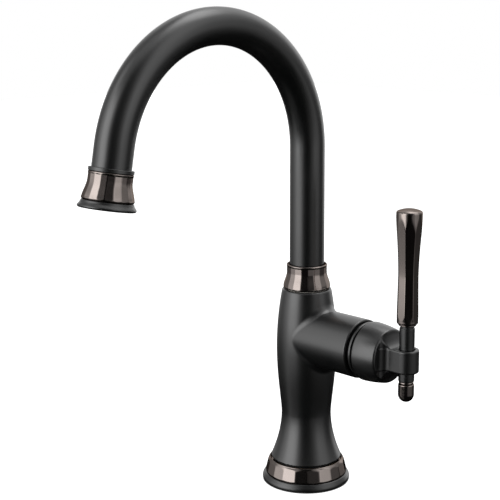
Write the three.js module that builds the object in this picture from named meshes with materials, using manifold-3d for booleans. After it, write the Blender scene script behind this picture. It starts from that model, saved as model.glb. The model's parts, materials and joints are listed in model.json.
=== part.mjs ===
// Gooseneck bar faucet with a side lever, in millimetres.
//
// The deck is the plane z = 0, the origin is the centre of the base and +Z is up. The spout
// reaches towards -Y, where the user stands. The valve lies along +X, with its lever upright.
// Sizes that can be set by themselves come first. Whatever fits in, seats on or lines up with
// another piece takes its size and place from that piece's values and a named clearance.

import * as THREE from 'three';
import { mergeVertices } from 'three/addons/utils/BufferGeometryUtils.js';
import Module from 'manifold-3d';

const wasm = await Module();
wasm.setup();

// --- Clearances -------------------------------------------------------------------------------

const seatGap = 0.05; // between two faces that are screwed or pressed together
const slipGap = 0.3; // radial, round a piece that is pushed into a bore
const pinGap = 0.1; // radial, round a pin that turns in its hole
const sealGap = 0.12; // radial, between an O-ring and the wall it seals on

// --- Base -------------------------------------------------------------------------------------

const gasketRadius = 33.4;
const gasketThickness = 0.9;
const flangeRadius = 33.8;
const flangeTopRadius = 32.4;
const flangeHeight = 5.1;
const baseRingFootRadius = 31.9;
const baseRingLipRadius = 29.2;
const baseRingHeight = 11.4;
const bodySeam = 1.0; // the dark line between the base ring and the body
const insertRadius = 24;
const spigotRadius = 15.2;
const spigotHeight = 11;
const hoseSocketRadius = 6.4;
const hoseSocketDepth = 8;
const studSocketRadius = 3.5;
const studSocketDepth = 12;
const studX = -11;

// --- Body -------------------------------------------------------------------------------------

const bodyHeight = 133.9;
const footRadius = 27.3;
const waistRadius = 19.1;
const waistHeight = 54; // above the deck
const bellyRadius = 22.9;
const bellyHeight = 107;
const lipRadius = 18.7;
const lipRounding = 1.1;
const valveHeight = 116; // the valve's axis above the deck
const hubRadius = 21.95;
const hubLength = 57.5; // from the body's axis to the hub's end face
const hubRounding = 1.1;
const cavityCeiling = 25; // from the valve's axis down to the roof of the lower cavity

// --- Supply tubes and ports -------------------------------------------------------------------

const supplyX = 7;
const portSpread = 8; // each supply port's distance from the mid plane
const inletRise = 5; // the inlet ports above the valve's axis
const outletDrop = 3.5; // the outlet port below the valve's axis
const portRadius = 3;
const supplyTubeRadius = 4;
const tubeSocketDepth = 8;
const tubeSealRadius = 5.4;
const tubeSealHeight = 2;

// --- Cartridge, from the bore's floor outwards ------------------------------------------------

const valveFloor = 24; // from the body's axis to the bore's floor
const cartridgeRadius = 17.5;
const portSealRadius = 4.6;
const portSealThickness = 1.8;
const cartridgeBaseThickness = 5;
const portSealProud = 0.5;
const fixedDiscRadius = 13;
const fixedDiscThickness = 4;
const movingDiscRadius = 10.8;
const movingDiscThickness = 3;
const mixingChamber = { width: 16, height: 9.5, depth: 1.6 };
const carrierThickness = 4.3;
const discTravel = 4.8;
const housingWall = 1.2;
const housingLength = 19.3;
const turretFlangeRadius = 15.9;
const turretFlangeThickness = 3.5;
const turretNeckRadius = 12.5;
const turretLength = 16.5;
const pinInset = 4; // from the turret's outer end to the lever's pin
const pinRadius = 1.5;
const stemRadius = 3.8;
const stemBallRadius = 2.5;
const stemBallArm = 14; // from the pin to the middle of the ball end
const stemSlotWidth = 8.4;
const stemSlotHeight = 17;
const bonnetNutLength = 7.4;
const beadRadius = 20.7;
const beadWidth = 1.3;
const grooveWidth = 4.1; // the dark groove between the hub and the bead
const grooveRadius = 19.5;

// --- Handle -----------------------------------------------------------------------------------

const capSeam = 0.8; // from the bead to the cap's back edge
const capRadius = 21.9;
const capWall = 1.1;
const capLength = 19.8;
const capRimRadius = 19.6;
const capFloor = 12.5; // from the cap's back edge to the floor of its hollow
const bossRadius = 8;
const bossLength = 7;
const endFaceWidth = 5.8; // flat band beside the arm, inside the cap's rim
const armFillet = 4.6;
const scoopRun = 7.8; // how far the scoops above and below the arm reach out from the rim
const knuckleReach = 97.6; // from the body's axis to the lever's axis
const knuckleRadius = 8.9;
const knuckleHeight = 16.8;
const leverBore = 3.6;
const stemRecessRadius = 6.1;
const stemRecessDepth = 1.5;
const setScrewRadius = 2;
const setScrewLength = 7;
const screwInset = 3.6; // from the hollow's floor to the screw's axis
const screwPlugLength = 3;

// --- Lever ------------------------------------------------------------------------------------

const leverStemRadius = 5.5;
const leverStemTop = 15.8; // above the knuckle
const leverRodRadius = 3.3;
const gripNeckRadius = 5;
const gripNeckHeight = 1.7; // the dark neck between the stem and the collar
const gripCollarRadius = 6.6;
const gripCollarHeight = 1.1;
const gripLength = 82.6;
const gripFootRadius = 7.2;
const gripWaistRadius = 6.8;
const gripHeadRadius = 9.35;
const gripHeadFlare = 3.2;
const gripWaistAt = 0.42; // share of the grip's length
const gripFacets = 8;
const gripDome = 2.2;
const gripRodDepth = 12;
const lowerCollarRadius = 5.75;
const lowerCollarHeight = 6.65;
const finialRingRadius = 5.1;
const finialRingHeight = 2;
const finialRadius = 5.35;
const finialLength = 13.4;
const finialRodDepth = 6.5;

// --- Spout ------------------------------------------------------------------------------------

const tubeRadius = 13.1;
const tubeWall = 1.2;
const archHeight = 260.6; // the arch's centre above the deck
const archRadius = 91.2;
const archAngle = THREE.MathUtils.degToRad(169.5);
const outletRun = 14; // straight tube from the arch to the outlet collar
const spoutSeam = 0.6; // the dark line between the body and the spout ring
const spoutRingLipWall = 2.4; // outside the tube
const spoutRingFlare = 2; // from the lip to the foot
const spoutRingHeight = 18.5;
const tubeLift = 3; // the tube's lower end above the spout ring's
const facetCount = 20;
const socketFloor = 13; // from the valve's axis up to the socket's floor
const shankStep = 0.9; // from the tube's outside in to the shank
const socketPlay = 1; // the ring gap that the seals bridge
const shankBore = 8;
const shankOverlap = 16; // the part of the shank that is brazed into the tube
const shankLift = 1.5; // above the socket's floor
const sealGroove = { width: 2.6, depth: 1.5 };
const sealLevels = [4, 10]; // above the shank's lower end
const clipLevel = 16.4;
const clipThickness = 1.6;
const clipBite = 0.6; // into the groove of the socket
const clipOpening = Math.PI / 3;
const glideLedge = 2.6; // outside the socket
const glideDepth = 1.6;

// --- Outlet, measured along the flow from the end of the bare tube ----------------------------

const outletGap = 0.3; // between the stacked outlet pieces
const nozzleCollarWall = 1.8; // outside the tube
const nozzleCollarHeight = 2.5;
const nozzleRingLipWall = 1.75; // outside the tube
const nozzleRingFlare = 2.25; // from the lip to the foot
const nozzleRingHeight = 18;
const aeratorTopLedge = 0.1; // outside the ring's foot
const aeratorFlare = 2; // from the top to the rim
const aeratorHeight = 5.2;
const aeratorRim = 1;
const aeratorNeckLength = 8;
const aeratorNeckWall = 1.7;
const aeratorHoles = 8;
const aeratorHoleRadius = 1.4;
const aeratorHoleInset = 3.6; // from the insert's edge to the middles of its holes
const screenThickness = 0.7;
const screenHoleRadius = 1.1;
const washerThickness = 1.6;

// --- Places worked out from the sizes above ---------------------------------------------------

const flangeBottom = gasketThickness + seatGap;
const baseRingBottom = flangeBottom + flangeHeight + seatGap;
const bodyBottom = baseRingBottom + baseRingHeight + bodySeam;
const bodyTop = bodyBottom + bodyHeight;
const insertTop = bodyBottom - seatGap;
const cavityRadius = spigotRadius + slipGap;
const cavityTop = valveHeight - cavityCeiling;
const tubeSocketTop = cavityTop + tubeSocketDepth;
const supplyTubeBottom = hoseSocketDepth;
const socketBottom = valveHeight + socketFloor;

const hubBore = cartridgeRadius + slipGap;
const cartridgeBottom = valveFloor + portSealProud;
const cartridgeBaseTop = cartridgeBottom + cartridgeBaseThickness;
const fixedDiscBottom = cartridgeBaseTop + seatGap;
const movingDiscBottom = fixedDiscBottom + fixedDiscThickness + seatGap;
const carrierBottom = movingDiscBottom + movingDiscThickness + seatGap;
const turretBottom = carrierBottom + carrierThickness + slipGap;
const turretTop = turretBottom + turretLength;
const pinReach = turretTop - pinInset;
const housingTop = fixedDiscBottom + housingLength;
const housingBore = cartridgeRadius - housingWall;
const bonnetNutBottom = housingTop + seatGap;
const bonnetNutTop = bonnetNutBottom + bonnetNutLength;
const beadBack = hubLength + grooveWidth;
const capBack = beadBack + beadWidth + capSeam;
const capFront = capBack + capLength;
const bossBack = capBack + capFloor - bossLength;
const screwReach = capBack + capFloor + screwInset;

const knuckleTop = knuckleHeight / 2;
const stemTop = knuckleTop + leverStemTop;
const gripCollarBottom = stemTop + gripNeckHeight + seatGap;
const gripBottom = gripCollarBottom + gripCollarHeight + seatGap;
const lowerCollarTop = -knuckleHeight / 2 - seatGap;
const finialRingTop = lowerCollarTop - lowerCollarHeight - seatGap;
const finialTop = finialRingTop - finialRingHeight - seatGap;

const spoutFoot = bodyTop + spoutSeam;
const tubeFoot = spoutFoot + tubeLift;
const tubeBore = tubeRadius - tubeWall;
const shankRadius = tubeRadius - shankStep;
const socketRadius = shankRadius + socketPlay;
const clipRadius = socketRadius + clipBite;
const glideRadius = socketRadius + glideLedge;
const spoutRingLipRadius = tubeRadius + spoutRingLipWall;
const spoutRingFootRadius = spoutRingLipRadius + spoutRingFlare;
const nozzleCollarRadius = tubeRadius + nozzleCollarWall;
const nozzleRingLipRadius = tubeRadius + nozzleRingLipWall;
const nozzleRingFootRadius = nozzleRingLipRadius + nozzleRingFlare;
const aeratorTopRadius = nozzleRingFootRadius + aeratorTopLedge;
const aeratorRimRadius = aeratorTopRadius + aeratorFlare;
const shankFoot = socketBottom + shankLift;
const nozzleRingStart = nozzleCollarHeight + 2 * outletGap;
const aeratorStart = nozzleRingStart + nozzleRingHeight + outletGap;
const tubeEnd = aeratorStart - 2;
const aeratorEnd = aeratorStart + aeratorHeight;
const aeratorNeckRadius = tubeBore - slipGap;
const aeratorBore = aeratorNeckRadius - aeratorNeckWall;
const aeratorInsertRadius = aeratorBore - slipGap;
const aeratorFlow = aeratorInsertRadius - aeratorHoleInset;
const screenTop = aeratorEnd - aeratorRim - outletGap;

const roundSides = 28;
const mediumSides = 20;
const smallSides = 12;

// --- Finishes ---------------------------------------------------------------------------------

function finish(color, roughness, metalness) {
  return new THREE.MeshStandardMaterial({ color, roughness, metalness });
}

const matteBlack = finish(0x202223, 0.45, 0.4);
const darkMetal = finish(0x57504c, 0.2, 1);
const brass = finish(0xb5904a, 0.35, 1);
const copper = finish(0xb87348, 0.35, 1);
const steel = finish(0xa2a5a8, 0.3, 1);
const rubber = finish(0x161616, 0.8, 0);
const ceramic = finish(0xe9e7e1, 0.3, 0);
const nylon = finish(0xdad7cd, 0.5, 0);
const plastic = finish(0x6c7a85, 0.5, 0);

// --- Solids -----------------------------------------------------------------------------------

// A geometry as a closed solid for joining and cutting.
function solidOf(geometry) {
  const bare = geometry.clone();
  bare.deleteAttribute('normal');
  bare.deleteAttribute('uv');
  const merged = mergeVertices(bare, 1e-4);
  return new wasm.Manifold(new wasm.Mesh({
    numProp: 3,
    vertProperties: merged.attributes.position.array,
    triVerts: new Uint32Array(merged.index.array),
  }));
}

function geometryOf(solid) {
  const mesh = solid.getMesh();
  const geometry = new THREE.BufferGeometry();
  const positions = new Float32Array(mesh.vertProperties);
  geometry.setAttribute('position', new THREE.BufferAttribute(positions, 3));
  geometry.setIndex(new THREE.BufferAttribute(new Uint32Array(mesh.triVerts), 1));
  geometry.computeVertexNormals();
  return geometry;
}

function join(first, ...others) {
  return geometryOf(others.reduce((sum, other) => sum.add(solidOf(other)), solidOf(first)));
}

function cut(stock, ...tools) {
  return geometryOf(tools.reduce((rest, tool) => rest.subtract(solidOf(tool)), solidOf(stock)));
}

function common(first, ...others) {
  return geometryOf(others.reduce((rest, other) => rest.intersect(solidOf(other)), solidOf(first)));
}

// A solid of revolution about +Z. The outline is a list of [radius, height] corners or a path
// in the same plane; it starts and ends on the axis or is closed round a bore.
function revolve(outline, sides = roundSides, firstAngle = 0) {
  const points = Array.isArray(outline)
    ? outline.map(([radius, height]) => new THREE.Vector2(radius, height))
    : outline.getPoints(5);
  if (THREE.ShapeUtils.isClockWise(points)) points.reverse();
  if (points[0].x > 0 && !points[0].equals(points.at(-1))) points.push(points[0].clone());
  return new THREE.LatheGeometry(points, sides, firstAngle).rotateX(Math.PI / 2);
}

function rod(radius, from, to, sides = smallSides) {
  return revolve([[0, from], [radius, from], [radius, to], [0, to]], sides);
}

function ring(bore, radius, from, to, sides = roundSides) {
  return revolve([[bore, from], [radius, from], [radius, to], [bore, to]], sides);
}

// Turns a solid made about +Z so that it lies about +X.
function alongX(geometry) {
  return geometry.rotateY(Math.PI / 2);
}

function box(low, high) {
  const size = high.map((value, i) => value - low[i]);
  const middle = high.map((value, i) => (value + low[i]) / 2);
  return new THREE.BoxGeometry(...size).translate(...middle);
}

// A ring with a concave flare: a round lip on top, widest just above its foot, with flat facets
// round it. Its foot is at z = 0, and one facet faces -Y.
function flaredRing(bore, footRadius, lipRadius, height) {
  const lip = height * 0.08;
  const footRounding = height * 0.16;
  const waist = lipRadius - 0.35;
  const boreCorner = bore / Math.cos(Math.PI / facetCount);
  const outline = new THREE.Path();
  outline.moveTo(boreCorner, 0);
  outline.lineTo(footRadius - footRounding * 0.25, 0);
  outline.quadraticCurveTo(footRadius, footRounding * 0.4, footRadius, footRounding);
  outline.quadraticCurveTo(waist, height * 0.4, waist, height - 2 * lip);
  outline.quadraticCurveTo(lipRadius + 0.2, height - lip, lipRadius - 0.5, height);
  outline.lineTo(boreCorner, height);
  outline.lineTo(boreCorner, 0);
  return revolve(outline, facetCount, Math.PI / facetCount);
}

// --- Base pieces ------------------------------------------------------------------------------

function baseGasket() {
  return ring(insertRadius + slipGap, gasketRadius, 0, gasketThickness);
}

function baseFlange() {
  const top = flangeBottom + flangeHeight;
  return revolve([
    [insertRadius + slipGap, flangeBottom],
    [flangeRadius - 0.5, flangeBottom],
    [flangeRadius, flangeBottom + 0.6],
    [flangeRadius - 0.3, flangeBottom + flangeHeight * 0.5],
    [flangeTopRadius, top - 0.3],
    [flangeTopRadius - 0.5, top],
    [insertRadius + slipGap, top],
  ]);
}

function baseRing() {
  return flaredRing(insertRadius + slipGap, baseRingFootRadius, baseRingLipRadius, baseRingHeight)
    .translate(0, 0, baseRingBottom);
}

// The brass plug that centres the base rings and carries the body. Its middle is solid.
function baseInsert() {
  const spigotTop = insertTop + spigotHeight;
  const plug = revolve([
    [0, 0], [insertRadius, 0], [insertRadius, insertTop], [spigotRadius, insertTop],
    [spigotRadius, spigotTop], [0, spigotTop],
  ]);
  const ports = [-portSpread, portSpread].flatMap((y) => [
    rod(hoseSocketRadius, -1, hoseSocketDepth).translate(supplyX, y, 0),
    rod(supplyTubeRadius + slipGap, hoseSocketDepth - 1, spigotTop + 1).translate(supplyX, y, 0),
  ]);
  const stud = rod(studSocketRadius, -1, studSocketDepth).translate(studX, 0, 0);
  return cut(plug, ...ports, stud);
}

// --- Body -------------------------------------------------------------------------------------

// The vase shape: a flaring foot, a waist, a belly at the valve and a narrower lip.
function bodyRadius(height) {
  if (height < waistHeight) {
    const share = (waistHeight - height) / (waistHeight - bodyBottom);
    return waistRadius + (footRadius - waistRadius) * share ** 2;
  }
  if (height < bellyHeight) {
    const share = (height - waistHeight) / (bellyHeight - waistHeight);
    return waistRadius + (bellyRadius - waistRadius) * (1 - Math.cos(Math.PI * share ** 0.75)) / 2;
  }
  const share = (height - bellyHeight) / (bodyTop - bellyHeight);
  return bellyRadius - (bellyRadius - lipRadius) * share ** 2;
}

function bodyOutline() {
  const steps = 16;
  const straightTop = bodyTop - lipRounding;
  const outline = [[0, bodyBottom]];
  for (let i = 0; i <= steps; i += 1) {
    const height = bodyBottom + (straightTop - bodyBottom) * i / steps;
    outline.push([bodyRadius(height), height]);
  }
  outline.push([bodyRadius(straightTop) - lipRounding * 0.4, bodyTop - lipRounding * 0.3]);
  outline.push([bodyRadius(straightTop) - lipRounding, bodyTop], [0, bodyTop]);
  return outline;
}

// A straight passage of the ports' radius from one point to another.
function passage(from, to) {
  const start = new THREE.Vector3(...from);
  const span = new THREE.Vector3(...to).sub(start);
  const turn = new THREE.Quaternion().setFromUnitVectors(
    new THREE.Vector3(0, 0, 1), span.clone().normalize());
  return rod(portRadius, 0, span.length()).applyQuaternion(turn).translate(...start);
}

// The casting: the vase with the valve's hub on its side, hollow from both ends and the side.
function body() {
  const hub = alongX(revolve([
    [0, 0], [hubRadius, 0], [hubRadius, hubLength - hubRounding],
    [hubRadius - hubRounding * 0.3, hubLength - hubRounding * 0.3],
    [hubRadius - hubRounding, hubLength], [0, hubLength],
  ])).translate(0, 0, valveHeight);
  const bore = alongX(rod(hubBore, valveFloor, hubLength + 1, roundSides))
    .translate(0, 0, valveHeight);
  const cavity = rod(cavityRadius, bodyBottom - 1, cavityTop, roundSides);
  const socket = rod(socketRadius, socketBottom, bodyTop + 1, roundSides);
  const glideSeat = rod(glideRadius + slipGap, bodyTop - glideDepth, bodyTop + 1, roundSides);
  const clipMiddle = shankFoot + clipLevel + clipThickness / 2;
  const clipSeat = rod(clipRadius + slipGap, clipMiddle - clipThickness / 2 - slipGap,
    clipMiddle + clipThickness / 2 + slipGap, roundSides);
  const inletHeight = valveHeight + inletRise;
  const outletHeight = valveHeight - outletDrop;
  const inlets = [-portSpread, portSpread].flatMap((y) => [
    rod(supplyTubeRadius + slipGap, cavityTop - 1, tubeSocketTop).translate(supplyX, y, 0),
    rod(tubeSealRadius + slipGap, cavityTop - 1, cavityTop + tubeSealHeight + slipGap)
      .translate(supplyX, y, 0),
    passage([supplyX, y, tubeSocketTop - 1], [supplyX, y, inletHeight + portRadius * 0.7]),
    passage([supplyX, y, inletHeight], [valveFloor + 1, y, inletHeight]),
  ]);
  const outletX = -supplyX / 2;
  const outlets = [
    passage([valveFloor + 1, 0, outletHeight], [outletX - portRadius * 0.7, 0, outletHeight]),
    passage([outletX, 0, outletHeight], [outletX, 0, socketBottom + 1]),
  ];
  return cut(join(revolve(bodyOutline()), hub), bore, cavity, socket, glideSeat, clipSeat,
    ...inlets, ...outlets);
}

// --- Supply side ------------------------------------------------------------------------------

function supplyTube(side) {
  return ring(portRadius, supplyTubeRadius, supplyTubeBottom, tubeSocketTop - seatGap, smallSides)
    .translate(supplyX, side * portSpread, 0);
}

function tubeSeal(side) {
  return ring(supplyTubeRadius + sealGap, tubeSealRadius, cavityTop, cavityTop + tubeSealHeight,
    smallSides).translate(supplyX, side * portSpread, 0);
}

// --- Cartridge pieces, lying along +X ----------------------------------------------------------

// Where the two inlets and the outlet lie, as [y, z] from the valve's axis.
const ports = { hot: [-portSpread, inletRise], cold: [portSpread, inletRise], outlet: [0, -outletDrop] };

function portCutter(port, radius, from, to) {
  return alongX(rod(radius, from, to)).translate(0, ...ports[port]);
}

function cartridgeBase() {
  const stock = alongX(rod(cartridgeRadius, cartridgeBottom, cartridgeBaseTop, roundSides));
  const sealSeatTop = valveFloor + portSealThickness + seatGap;
  const cutters = Object.keys(ports).flatMap((port) => [
    portCutter(port, portRadius, cartridgeBottom - 1, cartridgeBaseTop + 1),
    portCutter(port, portSealRadius + slipGap, cartridgeBottom - 1, sealSeatTop),
  ]);
  return cut(stock, ...cutters);
}

function portSeal(port) {
  const from = valveFloor + seatGap;
  return alongX(ring(portRadius, portSealRadius, from, valveFloor + portSealThickness, smallSides))
    .translate(0, ...ports[port]);
}

function fixedDisc() {
  const top = fixedDiscBottom + fixedDiscThickness;
  const stock = alongX(rod(fixedDiscRadius, fixedDiscBottom, top, mediumSides));
  return cut(stock, ...Object.keys(ports).map((port) => (
    portCutter(port, portRadius, fixedDiscBottom - 1, top + 1))));
}

// The disc starts half its travel below the axis. Its chamber lets the inlets meet the outlet
// only when the disc is up.
function movingDisc() {
  const start = -discTravel / 2;
  const stock = alongX(rod(movingDiscRadius, movingDiscBottom,
    movingDiscBottom + movingDiscThickness, mediumSides)).translate(0, 0, start);
  const chamberTop = inletRise - portRadius - 0.5;
  const { width, height, depth } = mixingChamber;
  return cut(stock, box([movingDiscBottom - 1, -width / 2, chamberTop - height],
    [movingDiscBottom + depth, width / 2, chamberTop]));
}

function discCarrier() {
  const top = carrierBottom + carrierThickness;
  const stock = alongX(rod(movingDiscRadius, carrierBottom, top, mediumSides))
    .translate(0, 0, -discTravel / 2);
  const ballReach = pinReach - stemBallArm;
  const pocket = alongX(rod(stemBallRadius + slipGap, ballReach - stemBallRadius - slipGap,
    top + 1));
  return cut(stock, pocket);
}

function turret() {
  const flangeTop = turretBottom + turretFlangeThickness;
  const stock = alongX(revolve([
    [0, turretBottom], [turretFlangeRadius, turretBottom], [turretFlangeRadius, flangeTop],
    [turretNeckRadius, flangeTop], [turretNeckRadius, turretTop], [0, turretTop],
  ], mediumSides));
  const slotMiddle = 1;
  const slot = box(
    [turretBottom - 1, -stemSlotWidth / 2, slotMiddle - stemSlotHeight / 2],
    [turretTop + 1, stemSlotWidth / 2, slotMiddle + stemSlotHeight / 2]);
  const pinHole = rod(pinRadius + pinGap, -turretNeckRadius - 1, turretNeckRadius + 1)
    .rotateX(Math.PI / 2).translate(pinReach, 0, 0);
  return cut(stock, slot, pinHole);
}

function hingePin() {
  const half = turretNeckRadius - 0.8;
  return rod(pinRadius, -half, half).rotateX(Math.PI / 2).translate(pinReach, 0, 0);
}

// The spindle: a ball that moves the disc, an eye for the pin and the shank that the cap grips.
function cartridgeStem() {
  const ballReach = pinReach - stemBallArm;
  const ball = new THREE.SphereGeometry(stemBallRadius, 16, 10).translate(ballReach, 0, 0);
  const neck = alongX(rod(stemBallRadius * 0.7, ballReach, pinReach - 5));
  const shank = alongX(rod(stemRadius, pinReach - 6, capFront - seatGap));
  const eye = rod(pinRadius + pinGap, -stemRadius - 1, stemRadius + 1)
    .rotateX(Math.PI / 2).translate(pinReach, 0, 0);
  return cut(join(shank, neck, ball), eye);
}

function cartridgeHousing() {
  const lip = turretNeckRadius + slipGap;
  const lipBottom = turretBottom + turretFlangeThickness + slipGap;
  return alongX(revolve([
    [housingBore, fixedDiscBottom], [cartridgeRadius, fixedDiscBottom],
    [cartridgeRadius, housingTop], [lip, housingTop], [lip, lipBottom], [housingBore, lipBottom],
  ]));
}

function bonnetNut() {
  return alongX(ring(turretNeckRadius + 2 * slipGap, hubBore - slipGap / 2, bonnetNutBottom,
    bonnetNutTop));
}

// The trim ring: a spigot in the hub, a groove and the thin bead behind the cap.
function bonnetRing() {
  const bore = turretNeckRadius + 2 * slipGap;
  const step = hubLength + seatGap;
  const front = beadBack + beadWidth;
  return alongX(revolve([
    [bore, bonnetNutTop + seatGap], [hubBore - slipGap / 2, bonnetNutTop + seatGap],
    [hubBore - slipGap / 2, step], [grooveRadius, step], [grooveRadius, beadBack],
    [beadRadius, beadBack + beadWidth * 0.3], [beadRadius, front - beadWidth * 0.3],
    [beadRadius - 0.6, front], [bore, front],
  ]));
}

// --- Handle pieces, from the valve's axis ------------------------------------------------------

// The cap's own outside: a gentle convex taper from its back edge to the rim, then straight.
function capStock() {
  const front = knuckleReach + knuckleRadius + 1;
  const outline = new THREE.Path();
  outline.moveTo(0, capBack);
  outline.lineTo(capRadius - 0.4, capBack);
  outline.lineTo(capRadius, capBack + 0.6);
  outline.quadraticCurveTo(capRadius, capBack + capLength * 0.55, capRimRadius, capFront);
  outline.lineTo(capRimRadius, front);
  outline.lineTo(0, front);
  return alongX(revolve(outline));
}

// The arm seen from above: the end face, a fillet on each side, flat sides and a round end.
function armPlan() {
  const filletStart = capRimRadius - endFaceWidth;
  const armFace = capFront + armFillet * 1.05;
  const plan = new THREE.Shape();
  plan.moveTo(capBack - 1, -capRadius - 1);
  plan.lineTo(capFront, -capRadius - 1);
  plan.lineTo(capFront, -filletStart);
  plan.quadraticCurveTo(capFront + 0.4, -knuckleRadius, armFace, -knuckleRadius);
  plan.lineTo(knuckleReach, -knuckleRadius);
  plan.absarc(knuckleReach, 0, knuckleRadius, -Math.PI / 2, Math.PI / 2, false);
  plan.lineTo(armFace, knuckleRadius);
  plan.quadraticCurveTo(capFront + 0.4, knuckleRadius, capFront, filletStart);
  plan.lineTo(capFront, capRadius + 1);
  plan.lineTo(capBack - 1, capRadius + 1);
  const depth = 2 * capRadius + 4;
  return new THREE.ExtrudeGeometry(plan, { depth, bevelEnabled: false, curveSegments: 8 })
    .translate(0, 0, -depth / 2);
}

// The arm seen from the side: a round scoop above and below runs from the rim to the knuckle.
function armProfile() {
  const half = knuckleHeight / 2;
  const scoopDepth = capRimRadius - half;
  const scoopEnd = capFront + scoopRun;
  const front = knuckleReach + knuckleRadius + 2;
  const side = new THREE.Shape();
  side.moveTo(capBack - 1, -capRadius - 1);
  side.lineTo(capFront, -capRadius - 1);
  side.lineTo(capFront, -capRimRadius);
  side.absellipse(scoopEnd, -capRimRadius, scoopRun, scoopDepth, Math.PI, Math.PI / 2, true);
  side.lineTo(front, -half);
  side.lineTo(front, half);
  side.lineTo(scoopEnd, half);
  side.absellipse(scoopEnd, capRimRadius, scoopRun, scoopDepth, -Math.PI / 2, -Math.PI, true);
  side.lineTo(capFront, capRadius + 1);
  side.lineTo(capBack - 1, capRadius + 1);
  const depth = 2 * capRadius + 4;
  return new THREE.ExtrudeGeometry(side, { depth, bevelEnabled: false, curveSegments: 8 })
    .rotateX(Math.PI / 2).translate(0, depth / 2, 0);
}

// One casting: the hollow cap, the arm cut from it two ways, and the knuckle for the lever.
function handleCap() {
  const solid = common(capStock(), armPlan(), armProfile());
  const floor = capBack + capFloor;
  const hollow = alongX(revolve([
    [0, bossBack], [bossRadius, bossBack], [bossRadius, floor],
    [capRimRadius - 2.2 * capWall, floor], [capRadius - capWall - 0.4, capBack + 4],
    [capRadius - capWall, capBack - 1], [0, capBack - 1],
  ]));
  const stemBore = alongX(rod(stemRadius + slipGap, bossBack - 1, capFront + seatGap));
  const rodBore = rod(leverBore, -knuckleHeight, knuckleHeight).translate(knuckleReach, 0, 0);
  const recess = rod(stemRecessRadius, knuckleTop - stemRecessDepth, knuckleTop + 1)
    .translate(knuckleReach, 0, 0);
  const screwBore = rod(setScrewRadius + slipGap, -capRadius - 1, 0)
    .translate(screwReach, 0, 0);
  return cut(solid, hollow, stemBore, rodBore, recess, screwBore);
}

function setScrew() {
  const top = -stemRadius - seatGap;
  return rod(setScrewRadius, top - setScrewLength, top).translate(screwReach, 0, 0);
}

function screwPlug() {
  const foot = -capRimRadius + 0.2;
  return rod(setScrewRadius, foot, foot + screwPlugLength).translate(screwReach, 0, 0);
}

// --- Lever pieces, from the middle of the knuckle ----------------------------------------------

// A rod through the knuckle, thick above it, that reaches up into the grip and down into the nut.
function leverStem() {
  const shoulder = knuckleTop - stemRecessDepth + seatGap;
  const foot = finialTop - finialRodDepth;
  const tip = gripBottom + gripRodDepth - 1;
  return revolve([
    [0, foot], [leverRodRadius, foot], [leverRodRadius, shoulder], [leverStemRadius, shoulder],
    [leverStemRadius, stemTop], [gripNeckRadius, stemTop],
    [gripNeckRadius, stemTop + gripNeckHeight], [leverRodRadius, stemTop + gripNeckHeight],
    [leverRodRadius, tip], [0, tip],
  ], mediumSides);
}

function gripCollar() {
  return ring(leverBore, gripCollarRadius, gripCollarBottom, gripCollarBottom + gripCollarHeight,
    mediumSides);
}

// Half the width across the facets, at a share of the grip's length.
function gripFacetRadius(share) {
  if (share < gripWaistAt) return gripWaistRadius + 0.25 * (1 - share / gripWaistAt) ** 2;
  const rise = (share - gripWaistAt) / (1 - gripWaistAt);
  return gripWaistRadius + gripHeadFlare * rise ** 1.66;
}

// The round surface that the facets are cut into, at a share of the grip's length.
function gripRoundRadius(share) {
  const footShare = 0.034;
  const growth = 8.2 * Math.max(0, share - footShare);
  return Math.min(gripHeadRadius, gripFootRadius + growth);
}

// The grip is built row by row: each point is on the round surface or on its nearest facet,
// whichever is nearer to the axis.
function leverGrip() {
  const sides = gripFacets * 4;
  const domeShare = 1 - gripDome / gripLength;
  const shares = [0, 0.034, 0.07, 0.1, 0.2, 0.4, 0.54, 0.66, 0.74, 0.8, 0.84, 0.88, 0.94,
    domeShare - 0.008];
  const positions = [];
  for (const share of shares) {
    for (let i = 0; i < sides; i += 1) {
      const angle = 2 * Math.PI * i / sides;
      const facetStep = 2 * Math.PI / gripFacets;
      const offFacet = angle - facetStep * Math.round(angle / facetStep);
      const radius = Math.min(gripRoundRadius(share), gripFacetRadius(share) / Math.cos(offFacet));
      positions.push(radius * Math.cos(angle), radius * Math.sin(angle), share * gripLength);
    }
  }
  const indices = [];
  for (let row = 0; row < shares.length - 1; row += 1) {
    for (let i = 0; i < sides; i += 1) {
      const here = row * sides + i;
      const next = row * sides + (i + 1) % sides;
      indices.push(here, next, next + sides, here, next + sides, here + sides);
    }
  }
  const foot = positions.length / 3;
  positions.push(0, 0, 0, 0, 0, gripLength - gripDome);
  const lastRow = (shares.length - 1) * sides;
  for (let i = 0; i < sides; i += 1) {
    const next = (i + 1) % sides;
    indices.push(foot, next, i, foot + 1, lastRow + i, lastRow + next);
  }
  const shaft = new THREE.BufferGeometry();
  shaft.setAttribute('position', new THREE.Float32BufferAttribute(positions, 3));
  shaft.setIndex(indices);
  const crown = new THREE.Path();
  const domeFoot = gripLength - gripDome - 1;
  crown.moveTo(0, domeFoot);
  crown.lineTo(gripHeadRadius, domeFoot);
  crown.lineTo(gripHeadRadius - 0.3, domeFoot + 1);
  crown.quadraticCurveTo(gripHeadRadius * 0.6, gripLength, 0, gripLength);
  const stock = join(shaft, revolve(crown, sides));
  return cut(stock, rod(leverBore, -1, gripRodDepth)).translate(0, 0, gripBottom);
}

function lowerCollar() {
  const foot = lowerCollarTop - lowerCollarHeight;
  return ring(leverBore, lowerCollarRadius, foot, lowerCollarTop, mediumSides);
}

function finialRing() {
  const foot = finialRingTop - finialRingHeight;
  return ring(leverBore, finialRingRadius, foot, finialRingTop, mediumSides);
}

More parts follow.
